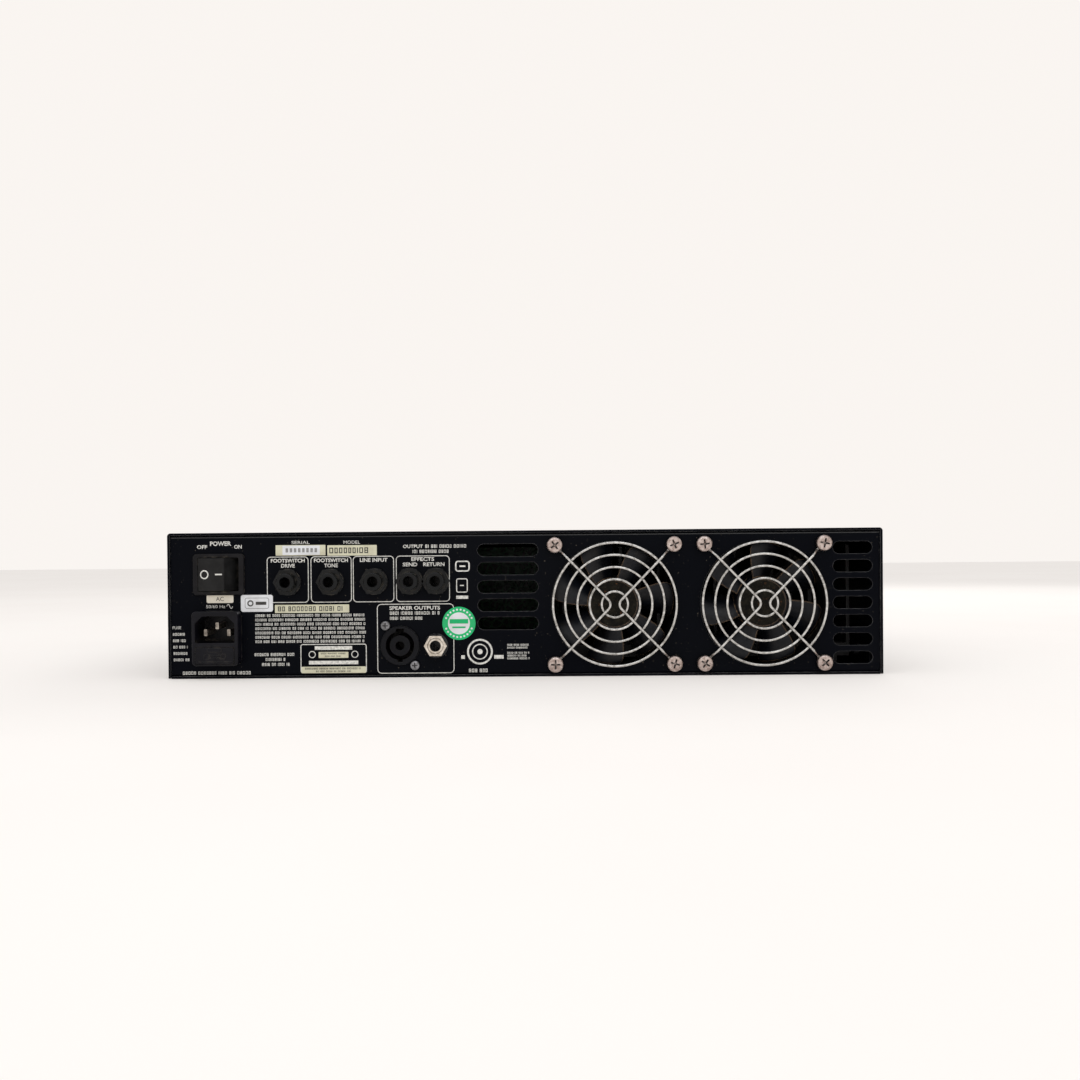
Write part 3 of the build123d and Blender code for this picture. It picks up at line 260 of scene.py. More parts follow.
# === Shader helpers =============================================================================================
class Finish:
    """A material's nodes around one Principled shader. Noise sizes are in metres, in the object's own frame."""

    def __init__(self, name, **values):
        self.material = bpy.data.materials.new(name)
        self.material.use_nodes = True
        self.tree = self.material.node_tree
        self.bsdf = self.tree.nodes["Principled BSDF"]
        for key, value in values.items():
            self.bsdf.inputs[key.replace("_", " ")].default_value = value
        self.place = self.add("TexCoord").outputs["Object"]
        self.normal = None

    def add(self, kind, inputs=None, **settings):
        node = self.tree.nodes.new("ShaderNode" + kind)
        for key, value in settings.items():
            setattr(node, key, value)
        for key, value in (inputs or {}).items():
            self.feed(node.inputs[key], value)
        return node

    def feed(self, socket, value):
        if isinstance(value, bpy.types.NodeSocket):
            self.tree.links.new(value, socket)
        else:
            socket.default_value = value

    def set(self, key, value):
        self.feed(self.bsdf.inputs[key], value)

    def math(self, operation, a, b=0.0):
        return self.add("Math", {0: a, 1: b}, operation=operation).outputs[0]

    def noise(self, size, detail=3.0, rough=0.6, stretch=None, shift=0.0):
        place = self.place
        if stretch or shift:
            values = {"Vector": place, "Scale": stretch or (1, 1, 1), "Location": (shift, shift, shift)}
            place = self.add("Mapping", values).outputs[0]
        values = {"Vector": place, "Scale": 1 / size, "Detail": detail, "Roughness": rough}
        return self.add("TexNoise", values).outputs[0]

    def between(self, value, start, end, low=0.0, high=1.0):
        values = {"Value": value, "From Min": start, "From Max": end, "To Min": low, "To Max": high}
        return self.add("MapRange", values, interpolation_type="SMOOTHSTEP").outputs[0]

    def blend(self, share, a, b):
        node = self.add("Mix", data_type="RGBA")
        for socket, value in ((node.inputs[0], share), (node.inputs[6], a), (node.inputs[7], b)):
            self.feed(socket, value)
        return node.outputs[2]

    def edges(self, radius, start=0.02, end=0.2):
        """High where the surface turns within a radius, and keeps the rounded normal for later bumps."""
        rounded = self.add("Bevel", {"Radius": radius}, samples=4).outputs[0]
        flat = self.add("NewGeometry").outputs["Normal"]
        dot = self.add("VectorMath", {0: rounded, 1: flat}, operation="DOT_PRODUCT").outputs["Value"]
        self.normal = rounded
        return self.between(self.math("SUBTRACT", 1.0, dot), start, end)

    def bends(self):
        """High on surfaces that lean back between upright and level, such as a fold's outer radius."""
        lean = self.add("SeparateXYZ", {0: self.add("NewGeometry").outputs["Normal"]}).outputs[2]
        return self.math("MULTIPLY", self.between(lean, 0.12, 0.35), self.between(lean, 0.70, 0.95, 1.0, 0.0))

    def corners(self, distance):
        """High in creases and recesses: dust settles there on moulded parts, and plated parts get painted shade there.
        """
        light = self.add("AmbientOcclusion", {"Distance": distance}, samples=4).outputs["AO"]
        return self.between(light, 0.85, 0.35)

    def bump(self, height, depth, strength=1.0):
        values = {"Height": height, "Distance": depth, "Strength": strength}
        if self.normal is not None:
            values["Normal"] = self.normal
        self.normal = self.add("Bump", values).outputs[0]

    def done(self):
        if self.normal is not None:
            self.set("Normal", self.normal)
        return self.material


def rgb(red, green, blue):
    return (red, green, blue, 1.0)


JACK_BORE = 3.3
WASHER_T = 1.5
DUST = rgb(0.30, 0.26, 0.20)
RIM_GLOSS = 0.9


def painted(name, colour, lit, roughness, grain=0.0007, depth=0.00001, wear=rgb(0.30, 0.30, 0.31), specular=0.12):
    """Powder coat: a fine grain, slow changes of tone, rubbed edges, faint scuffs and settled dust."""
    f = Finish(name)
    rim = f.edges(0.0005)
    tone = f.blend(f.between(f.noise(0.16, 3.0, 0.5), 0.25, 0.8), colour, lit)
    specks = f.between(f.noise(0.0011, 2.0, 0.4, shift=3.0), 0.735, 0.79, 0.0, 0.30)
    tone = f.blend(specks, tone, DUST)
    scuffs = f.between(f.noise(0.014, 5.0, 0.65, stretch=(0.5, 0.5, 6.0)), 0.66, 0.78, 0.0, 0.05)
    tone = f.blend(scuffs, tone, DUST)
    worn = f.math("MULTIPLY", rim, f.between(f.noise(0.006, 4.0), 0.40, 0.62, 0.10, 0.40))
    f.set("Base Color", f.blend(worn, tone, wear))
    rubbed = f.between(f.noise(0.03, 5.0), 0.3, 0.75, roughness - 0.02, roughness + 0.03)
    f.set("Roughness", f.math("ADD", rubbed, f.math("MULTIPLY", specks, 0.5)))
    bend = f.bends()
    polished = f.math("MAXIMUM", rim, bend)
    f.set("Specular IOR Level", f.between(polished, 0.0, 1.0, specular, specular + RIM_GLOSS))
    f.bump(f.noise(grain, 2.0, 0.5), depth)
    return f.done()


def moulded(name, colour, roughness, dusty=0.25, grain=0.0004, depth=0.000006, lit=None, specular=0.15):
    """Moulded plastic: fine spark grain, uneven sheen, paler edges, dust in the corners."""
    f = Finish(name, Specular_IOR_Level=specular)
    rim = f.edges(0.0004)
    lit = lit or rgb(*(1.7 * c + 0.0015 for c in colour[:3]))
    tone = f.blend(f.between(f.noise(0.012, 4.0), 0.35, 0.7), colour, lit)
    tone = f.blend(f.math("MULTIPLY", rim, 0.05), tone, rgb(0.42, 0.42, 0.43))
    settled = f.math("MULTIPLY", f.corners(0.003), f.between(f.noise(0.003, 4.0), 0.4, 0.65, 0.0, dusty))
    f.set("Base Color", f.blend(settled, tone, DUST))
    sheen = f.between(f.noise(0.006, 4.0), 0.3, 0.7, roughness - 0.06, roughness + 0.08)
    f.set("Roughness", f.math("ADD", sheen, f.math("MULTIPLY", settled, 0.5)))
    f.bump(f.noise(grain, 2.0, 0.5), depth)
    return f.done()


def plated(name, colour, tarnish, roughness, spread=0.5, size=0.0035, stain=rgb(0.16, 0.08, 0.035), stain_share=0.0,
           darkened=None):
    """Plated metal with clouded patches and brown specks; painted shade turns its recesses near-black and not metallic,
    and the optional mask does the same to more parts.
    """
    f = Finish(name, Metallic=1.0)
    f.edges(0.00025)
    cloud = f.between(f.noise(size, 5.0, 0.65), 0.5 - spread * 0.3, 0.5 + spread * 0.3)
    tone = f.blend(cloud, colour, tarnish)
    specks = f.between(f.noise(0.0016, 4.0, 0.7, shift=7.0), 0.70 - stain_share, 0.78 - stain_share)
    tone = f.blend(f.math("MULTIPLY", specks, 0.85), tone, stain)
    # Painted shade: recesses go near-black and lose their metal shine.
    recess_shade = f.corners(0.0020)
    tone = f.blend(f.math("MULTIPLY", recess_shade, 0.96), tone, rgb(0.010, 0.007, 0.005))
    shine = f.between(recess_shade, 0.2, 0.9, 1.0, 0.0)
    # Near-black and not metallic where the given mask is high: for the speaker jack, its dark washer and painted shade
    # in its bore.
    if darkened:
        dark = darkened(f)
        tone = f.blend(dark, tone, rgb(0.006, 0.006, 0.008))
        shine = f.math("MULTIPLY", shine, f.math("SUBTRACT", 1.0, dark))
    f.set("Base Color", tone)
    f.set("Metallic", shine)
    dull = f.between(cloud, 0.0, 1.0, roughness, roughness + 0.18)
    f.set("Roughness", f.math("ADD", dull, f.math("MULTIPLY", specks, 0.4)))
    f.bump(f.noise(0.0006, 3.0), 0.00001)
    return f.done()


def brushed(name, colour, lit, roughness, along, metallic=1.0):
    """Metal with fine parallel lines; along stretches the noise across the lines."""
    f = Finish(name, Metallic=metallic)
    rim = f.edges(0.0004)
    lines = f.noise(0.0009, 4.0, 0.7, stretch=along)
    tone = f.blend(f.between(lines, 0.3, 0.7), colour, lit)
    f.set("Base Color", f.blend(f.math("MULTIPLY", rim, 0.35), tone, rgb(0.55, 0.55, 0.56)))
    f.set("Roughness", f.between(f.noise(0.02, 4.0), 0.3, 0.7, roughness - 0.05, roughness + 0.1))
    f.bump(lines, 0.000006)
    return f.done()


def ink(name, colour, thin, roughness=0.55):
    """Screen print with slightly broken density."""
    f = Finish(name, Specular_IOR_Level=0.3)
    f.set("Base Color", f.blend(f.between(f.noise(0.0012, 4.0, 0.7), 0.30, 0.62, 0.0, 1.0), thin, colour))
    f.set("Roughness", f.between(f.noise(0.004), 0.3, 0.7, roughness - 0.08, roughness + 0.08))
    f.bump(f.noise(0.0003, 2.0), 0.000004)
    return f.done()


def paper(name, colour, aged, roughness=0.4):
    """Coated label stock, yellowed and rubbed in patches, with a few specks of grime."""
    f = Finish(name, Specular_IOR_Level=0.4)
    tone = f.blend(f.between(f.noise(0.009, 5.0), 0.35, 0.72), colour, aged)
    specks = f.between(f.noise(0.0009, 3.0, 0.5, shift=5.0), 0.70, 0.76, 0.0, 0.45)
    f.set("Base Color", f.blend(specks, tone, rgb(0.20, 0.16, 0.10)))
    f.set("Roughness", f.between(f.noise(0.005, 4.0), 0.3, 0.7, roughness - 0.08, roughness + 0.12))
    f.bump(f.noise(0.0005, 3.0), 0.000008)
    return f.done()


# === Materials ==================================================================================================
def dusty_blades(name="fan_blades"):
    """Dark translucent-looking plastic whose front edges hold brown dust."""
    f = Finish(name, Specular_IOR_Level=0.28)
    rim = f.edges(0.0012, 0.01, 0.22)
    tone = f.blend(f.between(f.noise(0.02, 4.0), 0.35, 0.7), rgb(0.0015, 0.0020, 0.0040), rgb(0.0050, 0.0070, 0.0120))
    film = f.between(f.noise(0.007, 5.0, 0.7), 0.42, 0.75, 0.0, 0.07)
    tone = f.blend(film, tone, rgb(0.14, 0.11, 0.08))
    clumps = f.math("MULTIPLY", rim, f.between(f.noise(0.0035, 5.0, 0.75), 0.32, 0.52))
    f.set("Base Color", f.blend(clumps, tone, rgb(0.26, 0.17, 0.10)))
    f.set("Roughness", f.math("ADD", f.between(f.noise(0.01), 0.3, 0.7, 0.30, 0.42), f.math("MULTIPLY", clumps, 0.5)))
    f.bump(f.math("MULTIPLY", f.noise(0.0008, 4.0), clumps), 0.0004)
    return f.done()


def hub_paper(name="hub_label"):
    """Old paper label, dark olive with pale and brown flecks."""
    f = Finish(name, Specular_IOR_Level=0.08)
    mottle = f.between(f.noise(0.004, 5.0, 0.7), 0.35, 0.7)
    tone = f.blend(mottle, rgb(0.0055, 0.0052, 0.0045), rgb(0.022, 0.019, 0.013))
    flecks = f.between(f.noise(0.0011, 3.0, 0.6, shift=2.0), 0.64, 0.72, 0.0, 0.6)
    tone = f.blend(flecks, tone, rgb(0.17, 0.155, 0.11))
    rust = f.between(f.noise(0.0032, 4.0, 0.6, shift=11.0), 0.63, 0.72, 0.0, 0.8)
    f.set("Base Color", f.blend(rust, tone, rgb(0.13, 0.055, 0.022)))
    f.set("Roughness", f.between(f.noise(0.002), 0.3, 0.7, 0.45, 0.75))
    f.bump(f.noise(0.0012, 4.0), 0.00008)
    return f.done()


def clear(name, colour, roughness, ior, smear=0.05):
    """Glass or clear plastic with finger smears."""
    f = Finish(name, Transmission_Weight=1.0, IOR=ior)
    f.set("Base Color", f.blend(f.between(f.noise(0.01, 4.0), 0.3, 0.7), colour, rgb(*(0.92 * c for c in colour[:3]))))
    f.set("Roughness", f.between(f.noise(0.012, 5.0), 0.4, 0.75, roughness, roughness + smear))
    f.bump(f.noise(0.008, 2.0), 0.00001)
    return f.done()


def lens(name="led_lens"):
    f = Finish(name, Transmission_Weight=0.6, IOR=1.5, Subsurface_Weight=0.0)
    f.set("Base Color", f.blend(f.between(f.noise(0.002), 0.3, 0.7), rgb(0.75, 0.02, 0.01), rgb(0.45, 0.01, 0.006)))
    f.set("Roughness", f.between(f.noise(0.003), 0.3, 0.7, 0.12, 0.25))
    f.bump(f.noise(0.001), 0.00001)
    return f.done()


def wound(name="winding"):
    """Tape-wrapped ring winding: spokes of wire under clear yellowed tape."""
    f = Finish(name, Specular_IOR_Level=0.5)
    low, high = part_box("transformer")
    middle = (low + high) / 2
    offset = f.add("VectorMath", {0: f.place, 1: tuple(middle)}, operation="SUBTRACT").outputs[0]
    parts = f.add("SeparateXYZ", {0: offset})
    angle = f.math("ARCTAN2", parts.outputs[1], parts.outputs[0])
    turns = f.math("SINE", f.math("MULTIPLY", angle, 150.0))
    wraps = f.math("SINE", f.math("MULTIPLY", angle, 24.0))
    tone = f.blend(f.between(f.noise(0.01, 4.0), 0.3, 0.7), rgb(0.42, 0.23, 0.04), rgb(0.60, 0.36, 0.08))
    tone = f.blend(f.between(turns, -1.0, 0.2, 0.5, 0.0), tone, rgb(0.16, 0.07, 0.02))
    f.set("Base Color", tone)
    f.set("Roughness", f.between(f.noise(0.004), 0.3, 0.7, 0.25, 0.4))
    f.bump(turns, 0.0003)
    f.bump(f.between(wraps, 0.9, 1.0), 0.0002)
    return f.done()


def circuit(name="circuit_board"):
    """Green solder mask with copper lines showing through and a slow change of tone."""
    f = Finish(name, Specular_IOR_Level=0.6)
    values = {"Vector": f.place, "Scale": 1 / 0.006}
    tracks = f.add("TexVoronoi", values, feature="DISTANCE_TO_EDGE", distance="CHEBYCHEV").outputs["Distance"]
    copper = f.between(tracks, 0.10, 0.13, 1.0, 0.0)
    tone = f.blend(f.between(f.noise(0.02), 0.3, 0.7), rgb(0.004, 0.045, 0.02), rgb(0.007, 0.070, 0.03))
    f.set("Base Color", f.blend(f.math("MULTIPLY", copper, 0.6), tone, rgb(0.03, 0.22, 0.08)))
    f.set("Roughness", f.between(f.noise(0.003), 0.3, 0.7, 0.28, 0.42))
    f.bump(copper, 0.00004)
    return f.done()


def jack_cover(f):
    """High on the speaker jack's dark washer, and inside its bore, where the near-black is painted shade."""
    low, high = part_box("speaker_jack")
    parts = f.add("SeparateXYZ", {0: f.place})
    across = f.math("SUBTRACT", parts.outputs[0], (low.x + high.x) / 2)
    along = f.math("SUBTRACT", parts.outputs[2], (low.z + high.z) / 2)
    radius = f.math("SQRT", f.math("ADD", f.math("MULTIPLY", across, across), f.math("MULTIPLY", along, along)))
    # Painted shade: the bore's walls go near-black.
    bore_shade = f.between(radius, JACK_BORE * MM, (JACK_BORE + 0.1) * MM, 1.0, 0.0)
    in_washer = f.between(parts.outputs[1], (REAR_Y + WASHER_T) * MM, (REAR_Y + WASHER_T + 0.05) * MM, 1.0, 0.0)
    return f.math("MAXIMUM", bore_shade, in_washer)


MATERIALS = {
    "case_paint": painted("case_paint", rgb(0.0014, 0.0019, 0.0040), rgb(0.0034, 0.0040, 0.0058), 0.42, specular=0.03),
    "front_plate": brushed("front_plate", rgb(0.012, 0.012, 0.014), rgb(0.03, 0.03, 0.034), 0.36, (0.05, 1, 1), 0.75),
    "black_screw": plated("black_screw", rgb(0.045, 0.045, 0.05), rgb(0.02, 0.02, 0.022), 0.38),
    "zinc_steel": plated("zinc_steel", rgb(0.34, 0.34, 0.36), rgb(0.17, 0.17, 0.175), 0.30),
    "nickel_screw": plated("nickel_screw", rgb(0.66, 0.57, 0.53), rgb(0.30, 0.22, 0.19), 0.26, 0.8, 0.0018,
                           stain_share=0.05),
    "chrome_wire": plated("chrome_wire", rgb(0.80, 0.79, 0.77), rgb(0.26, 0.25, 0.23), 0.14, 0.9, 0.0022,
                          stain_share=0.07),
    "switch_moulding": moulded("switch_moulding", rgb(0.0045, 0.0042, 0.0052), 0.42, 0.5),
    "rocker_moulding": moulded("rocker_moulding", rgb(0.0085, 0.0085, 0.0088), 0.36, 0.15),
    "inlet_moulding": moulded("inlet_moulding", rgb(0.0030, 0.0030, 0.0052), 0.33, 0.4),
    "plated_blade": plated("plated_blade", rgb(0.46, 0.42, 0.37), rgb(0.24, 0.21, 0.18), 0.40),
    "fuse_glass": clear("fuse_glass", rgb(0.95, 0.97, 0.96), 0.03, 1.5),
    "jack_moulding": moulded("jack_moulding", rgb(0.0012, 0.0017, 0.0022), 0.22, 0.3, specular=0.22),
    "speaker_jack_metal": plated("speaker_jack_metal", rgb(0.80, 0.74, 0.66), rgb(0.46, 0.40, 0.33), 0.16, 0.6, 0.003,
                                 darkened=jack_cover),
    "socket_moulding": moulded("socket_moulding", rgb(0.0016, 0.0019, 0.0034), 0.40, 0.3),
    "fan_moulding": moulded("fan_moulding", rgb(0.0030, 0.0030, 0.0034), 0.48, 0.6),
    "fan_blades": dusty_blades(),
    "control_case": moulded("control_case", rgb(0.03, 0.03, 0.035), 0.5),
    "knob_moulding": moulded("knob_moulding", rgb(0.016, 0.016, 0.017), 0.45, 0.3),
    "fader_moulding": moulded("fader_moulding", rgb(0.020, 0.020, 0.021), 0.42, 0.3),
    "button_moulding": moulded("button_moulding", rgb(0.024, 0.024, 0.025), 0.40, 0.3),
    "led_lens": lens(),
    "meter_case": moulded("meter_case", rgb(0.50, 0.40, 0.22), 0.55, 0.2, lit=rgb(0.66, 0.56, 0.34)),
    "meter_glass": clear("meter_glass", rgb(0.97, 0.97, 0.96), 0.02, 1.45),
    "needle_paint": moulded("needle_paint", rgb(0.012, 0.012, 0.012), 0.4, 0.0),
    "output_socket": plated("output_socket", rgb(0.10, 0.10, 0.105), rgb(0.05, 0.05, 0.055), 0.36),
    "winding": wound(),
    "transformer_steel": plated("transformer_steel", rgb(0.55, 0.50, 0.36), rgb(0.40, 0.36, 0.28), 0.40),
    # The near-black colour is painted shade: it keeps the heatsink behind the vent slots dark.
    "heatsink_aluminium": brushed("heatsink_aluminium", rgb(0.010, 0.010, 0.011), rgb(0.020, 0.020, 0.022), 0.5,
                                  (1, 0.04, 1), 0.2),
    "transistor_case": moulded("transistor_case", rgb(0.014, 0.014, 0.015), 0.5),
    "circuit_board": circuit(),
    "capacitor_sleeve": moulded("capacitor_sleeve", rgb(0.012, 0.020, 0.045), 0.28, 0.3),
    "brass_post": plated("brass_post", rgb(0.78, 0.58, 0.26), rgb(0.55, 0.38, 0.17), 0.32),
    "valve_base": moulded("valve_base", rgb(0.62, 0.60, 0.55), 0.5, 0.4, lit=rgb(0.74, 0.72, 0.68)),
    "valve_glass": clear("valve_glass", rgb(0.90, 0.92, 0.92), 0.02, 1.5),
}
WHITE_INK = ink("white_ink", rgb(0.78, 0.78, 0.74), rgb(0.42, 0.42, 0.40))
DARK_INK = ink("dark_ink", rgb(0.02, 0.02, 0.022), rgb(0.09, 0.085, 0.075))
GREY_INK = ink("grey_ink", rgb(0.30, 0.30, 0.30), rgb(0.20, 0.20, 0.20))
GREEN_INK = ink("green_ink", rgb(0.0, 0.46, 0.15), rgb(0.02, 0.36, 0.13), 0.4)
CREAM_LABEL = paper("cream_label", rgb(0.66, 0.65, 0.49), rgb(0.55, 0.53, 0.39))
WHITE_LABEL = paper("white_label", rgb(0.76, 0.78, 0.82), rgb(0.64, 0.65, 0.67))
GREEN_LABEL = paper("green_label", rgb(0.0, 0.50, 0.16), rgb(0.01, 0.42, 0.14), 0.35)
HUB_LABEL = hub_paper()

for part in frame["record"]["subparts"]:
    for held in frame["nodes"][part["node"]].material_slots:
        held.material = MATERIALS[part["material_slot"]]


# === Fan rotors =================================================================================================
HUB_R = 15.5
HUB_FACE = -3.5
HUB_L = 17.0
BLADE_MID = -13.0
BLADE_COUNT = 7
BLADE_TURN = {"left": 8.0, "right": 35.0}
BLADE_ROOT = (14.6, 17.0, 46.0)
BLADE_TIP = (36.9, 26.5, 28.5)
LABEL_R = 13.6


def blade(mesh, face, centre_angle):
    """A cambered, twisted blade that wraps round the axis, with thin edges and a rounded tip."""
    spans, chords = 12, 12
    grid = {}
    for i in range(spans + 1):
        t = i / spans
        radius = BLADE_ROOT[0] + (BLADE_TIP[0] - BLADE_ROOT[0]) * t
        chord = BLADE_ROOT[1] + (BLADE_TIP[1] - BLADE_ROOT[1]) * t
        pitch = math.radians(BLADE_ROOT[2] + (BLADE_TIP[2] - BLADE_ROOT[2]) * t)
        chord *= 1 - 0.16 * max(0.0, (t - 0.86) / 0.14) ** 2
        sweep = math.radians(-5.0 * t * t)
        for j in range(chords + 1):
            s = j / chords - 0.5
            camber = 0.09 * chord * (1 - 4 * s * s)
            half = (0.22 + 0.55 * (1 - (2 * s) ** 2) ** 0.5) * (1.25 - 0.45 * t)
            for side in (1, -1):
                along = s * chord
                across = camber + side * half
                turn = along * math.cos(pitch) - across * math.sin(pitch)
                out = along * math.sin(pitch) + across * math.cos(pitch)
                angle = math.radians(centre_angle) + sweep + turn / radius
                place = face.at(radius * math.cos(angle), radius * math.sin(angle), BLADE_MID + out)
                grid[i, j, side] = mesh.verts.new(place)
    for i in range(spans):
        for j in range(chords):
            for side in (1, -1):
                mesh.faces.new([grid[a, b, side] for a, b in ((i, j), (i + 1, j), (i + 1, j + 1), (i, j + 1))])
    for i in range(spans):
        for j in (0, chords):
            mesh.faces.new([grid[a, j, c] for a, c in ((i, 1), (i + 1, 1), (i + 1, -1), (i, -1))])
    for j in range(chords):
        for i in (0, spans):
            mesh.faces.new([grid[i, b, c] for b, c in ((j, 1), (j + 1, 1), (j + 1, -1), (j, -1))])


def turned_shape(mesh, face, profile, steps=64, u=0.0, v=0.0):
    """A closed profile of (radius, out) points turned about the face's w axis."""
    rings = []
    for i in range(steps):
        a = 2 * math.pi * i / steps
        rings.append([mesh.verts.new(face.at(u + r * math.cos(a), v + r * math.sin(a), w)) for r, w in profile])
    for i in range(steps):
        here, after = rings[i], rings[(i + 1) % steps]
        for j in range(len(profile)):
            k = (j + 1) % len(profile)
            corners = [here[j], here[k], after[k], after[j]]
            mesh.faces.new(corners)


def arc_points(centre, radius, start, end, steps=6):
    angles = [math.radians(start + (end - start) * i / steps) for i in range(steps + 1)]
    return [(centre[0] + radius * math.cos(a), centre[1] + radius * math.sin(a)) for a in angles]


def fan_rotor(side):
    face = REAR.moved(FAN_U[side], FAN_V)
    body = side + "_fan_rotor"
    mesh = bmesh.new()
    back = HUB_FACE - HUB_L
    profile = [(0.02, HUB_FACE - 0.35), (LABEL_R + 0.3, HUB_FACE - 0.35), (LABEL_R + 0.5, HUB_FACE - 0.05)]
    profile += arc_points((HUB_R - 1.6, HUB_FACE - 1.6), 1.6, 90, 0)
    profile += [(HUB_R, back), (HUB_R - 1.8, back), (HUB_R - 1.8, HUB_FACE - 2.5), (0.02, HUB_FACE - 2.5)]
    turned_shape(mesh, face, profile)
    for i in range(BLADE_COUNT):
        blade(mesh, face, BLADE_TURN[side] + 360 / BLADE_COUNT * i)
    turned_shape(mesh, face, [(0.02, HUB_FACE - 2.4), (1.5, HUB_FACE - 2.4), (1.5, -24.5), (0.02, -24.5)], 20)
    bmesh.ops.recalc_face_normals(mesh, faces=mesh.faces)
    rotor = piece(side + "_rotor_detailed", mesh, MATERIALS["fan_blades"], body, smooth=True)
    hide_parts(body)
    label = bmesh.new()
    top = HUB_FACE - 0.2
    turned_shape(label, face, [(0.02, top - 0.14), (LABEL_R, top - 0.14), (LABEL_R, top), (0.02, top)])
    bmesh.ops.recalc_face_normals(label, faces=label.faces)
    piece(side + "_hub_label", label, HUB_LABEL, body, smooth=True)


for side in FAN_U:
    fan_rotor(side)


# === Rear panel prints and labels ===============================================================================
def rear_boxes():
    """White frames round the jacks and the speaker outputs, with a word or two in each."""
    ink_sheet = Sheet(REAR)
    for u0, u1 in ((-155.3, -130.5), (-128.8, -104.5), (-103.3, -78.9), (-77.3, -45.3)):
        ink_sheet.outline(u0 + 0.4, u1 + 0.4, 45.8, 73.2, 2.2)
    ink_sheet.outline(-88.6, -42.6, 2.6, 44.2, 2.4)
    for u, second in ((-142.4, "DRIVE"), (-116.3, "TONE")):
        ink_sheet.words("FOOTSWITCH", u, 71.0, CAP_H, 20.5)
        ink_sheet.words(second, u, 67.9, CAP_H, None)
    ink_sheet.words("LINE INPUT", -90.6, 71.0, CAP_H, 16.6)
    ink_sheet.words("EFFECTS", -61.0, 71.3, CAP_H, 13.8)
    ink_sheet.words("SEND", -68.6, 68.1, CAP_H, 8.8)
    ink_sheet.words("RETURN", -54.2, 68.1, CAP_H, 12.8)
    ink_sheet.words("SPEAKER OUTPUTS", -66.0, 41.9, CAP_H, 30.5)
    ink_sheet.blocks(-81.0, -50.5, 38.8, 1.9, 21)
    ink_sheet.blocks(-81.0, -59.5, 35.7, 1.8, 22)
    ink_sheet.finish("rear_box_print", WHITE_INK)


def rear_captions():
    """Captions of the switch, plates and inlet, with plain blocks for every sentence."""
    ink_sheet = Sheet(REAR)
    ink_sheet.words("POWER", -183.1, 81.6, 2.7, 12.8)
    ink_sheet.words("OFF", -194.2, 79.6, 2.3, 6.2)
    ink_sheet.words("ON", -172.4, 79.6, 2.3, 4.6)
    ink_sheet.words("SERIAL", -134.6, 81.9, 1.9, 11.0, 0.004)
    ink_sheet.words("MODEL", -103.7, 81.8, 1.9, 10.0, 0.004)
    ink_sheet.words("OUTPUT", -66.8, 79.0, 2.1, 12.0)
    ink_sheet.blocks(-59.3, -34.0, 79.0, 2.0, 31)
    ink_sheet.blocks(-67.0, -44.0, 75.9, 1.9, 32)
    ink_sheet.words("50/60 Hz", -186.4, 43.6, 1.9, 11.6, 0.006)
    wave = [(-179.6 + 3.6 * i / 16, 43.7 + 1.3 * math.sin(2 * math.pi * i / 16)) for i in range(17)]
    ink_sheet.stroke(wave, 0.42)
    ink_sheet.words("FUSE", -210.0, 31.0, 1.8, 5.2, 0.006)
    for line, length in enumerate((7.6, 8.8, 9.8, 9.0, 10.2)):
        v = 27.0 - 3.85 * line
        ink_sheet.blocks(-212.4 + 0.1 * line, -212.4 + length, v, 1.6, 41 + line)
    ink_sheet.blocks(-206.6, -163.0, 3.5, 1.9, 51)
    ink_sheet.paragraph(-162.4, -95.4, 38.7, 7, 2.62, SMALL_H, 60)
    for line, (u0, u1) in enumerate(((-163.0, -138.9), (-156.4, -144.2), (-158.6, -140.9))):
        ink_sheet.blocks(u0, u1, 14.4 - 3.0 * line, 1.75, 80 + line)
    ink_sheet.finish("rear_caption_print", WHITE_INK)


def rear_marks():
    """Neutral shapes where the real panel carries approval marks."""
    ink_sheet = Sheet(REAR)
    ink_sheet.outline(-41.0, -33.0, 63.9, 69.7, 1.4, 0.8)
    ink_sheet.bar(-38.8, -35.2, 66.8, 0.9)
    ink_sheet.outline(-40.6, -34.2, 51.2, 59.2, 1.0, 0.55)
    ink_sheet.bar(-38.6, -36.2, 55.2, 0.6)
    ink_sheet.bar(-40.9, -33.7, 48.1, 1.9)
    ink_sheet.ring(-26.9, 15.2, 7.2, 1.1)
    ink_sheet.ring(-26.9, 15.2, 4.4, 0.7)
    ink_sheet.fill(circle_loop(-26.9, 15.2, 1.6, 24))
    ink_sheet.bar(-38.2, -36.0, 12.0, 2.2)
    ink_sheet.bar(-18.3, -12.6, 12.0, 2.2)
    ink_sheet.blocks(-33.6, -20.6, 3.9, 2.1, 91)
    for line, v in enumerate((19.2, 17.5, 14.4, 12.7, 11.0)):
        ink_sheet.blocks(-10.4, 3.4 - 1.6 * (line % 2), v, 1.1, 95 + line)
    ink_sheet.finish("rear_mark_print", WHITE_INK)


def caution_box():
    """Outlined box with two plain bars, a pale plate between them and a cream strip below."""
    ink_sheet = Sheet(REAR)
    ink_sheet.outline(-135.0, -95.5, 3.2, 20.3, 1.2, 0.5)
    ink_sheet.bar(-126.6, -104.0, 18.1, 2.2)
    ink_sheet.bar(-130.2, -100.4, 9.3, 2.2)
    for u in (-128.2, -102.4):
        ink_sheet.ring(u, 14.2, 1.9, 0.5)
    ink_sheet.finish("notice_box_print", WHITE_INK)
    plate = Sheet(REAR, STICKER_T)
    plate.fill(centred(-115.3, 13.9, 18.0, 3.6, 0.4))
    plate.fill(centred(-115.25, 4.9, 39.0, 3.9, 0.6))
    plate.finish("notice_box_strips", CREAM_LABEL)
    text = Sheet(REAR, PRINT_T, STICKER_T)
    text.blocks(-123.0, -107.6, 14.8, 0.9, 101)
    text.blocks(-120.5, -110.0, 13.1, 0.9, 102)
    text.blocks(-132.6, -98.2, 5.7, 1.1, 103)
    text.blocks(-126.0, -104.5, 4.0, 1.1, 104)
    text.finish("notice_box_text", DARK_INK)


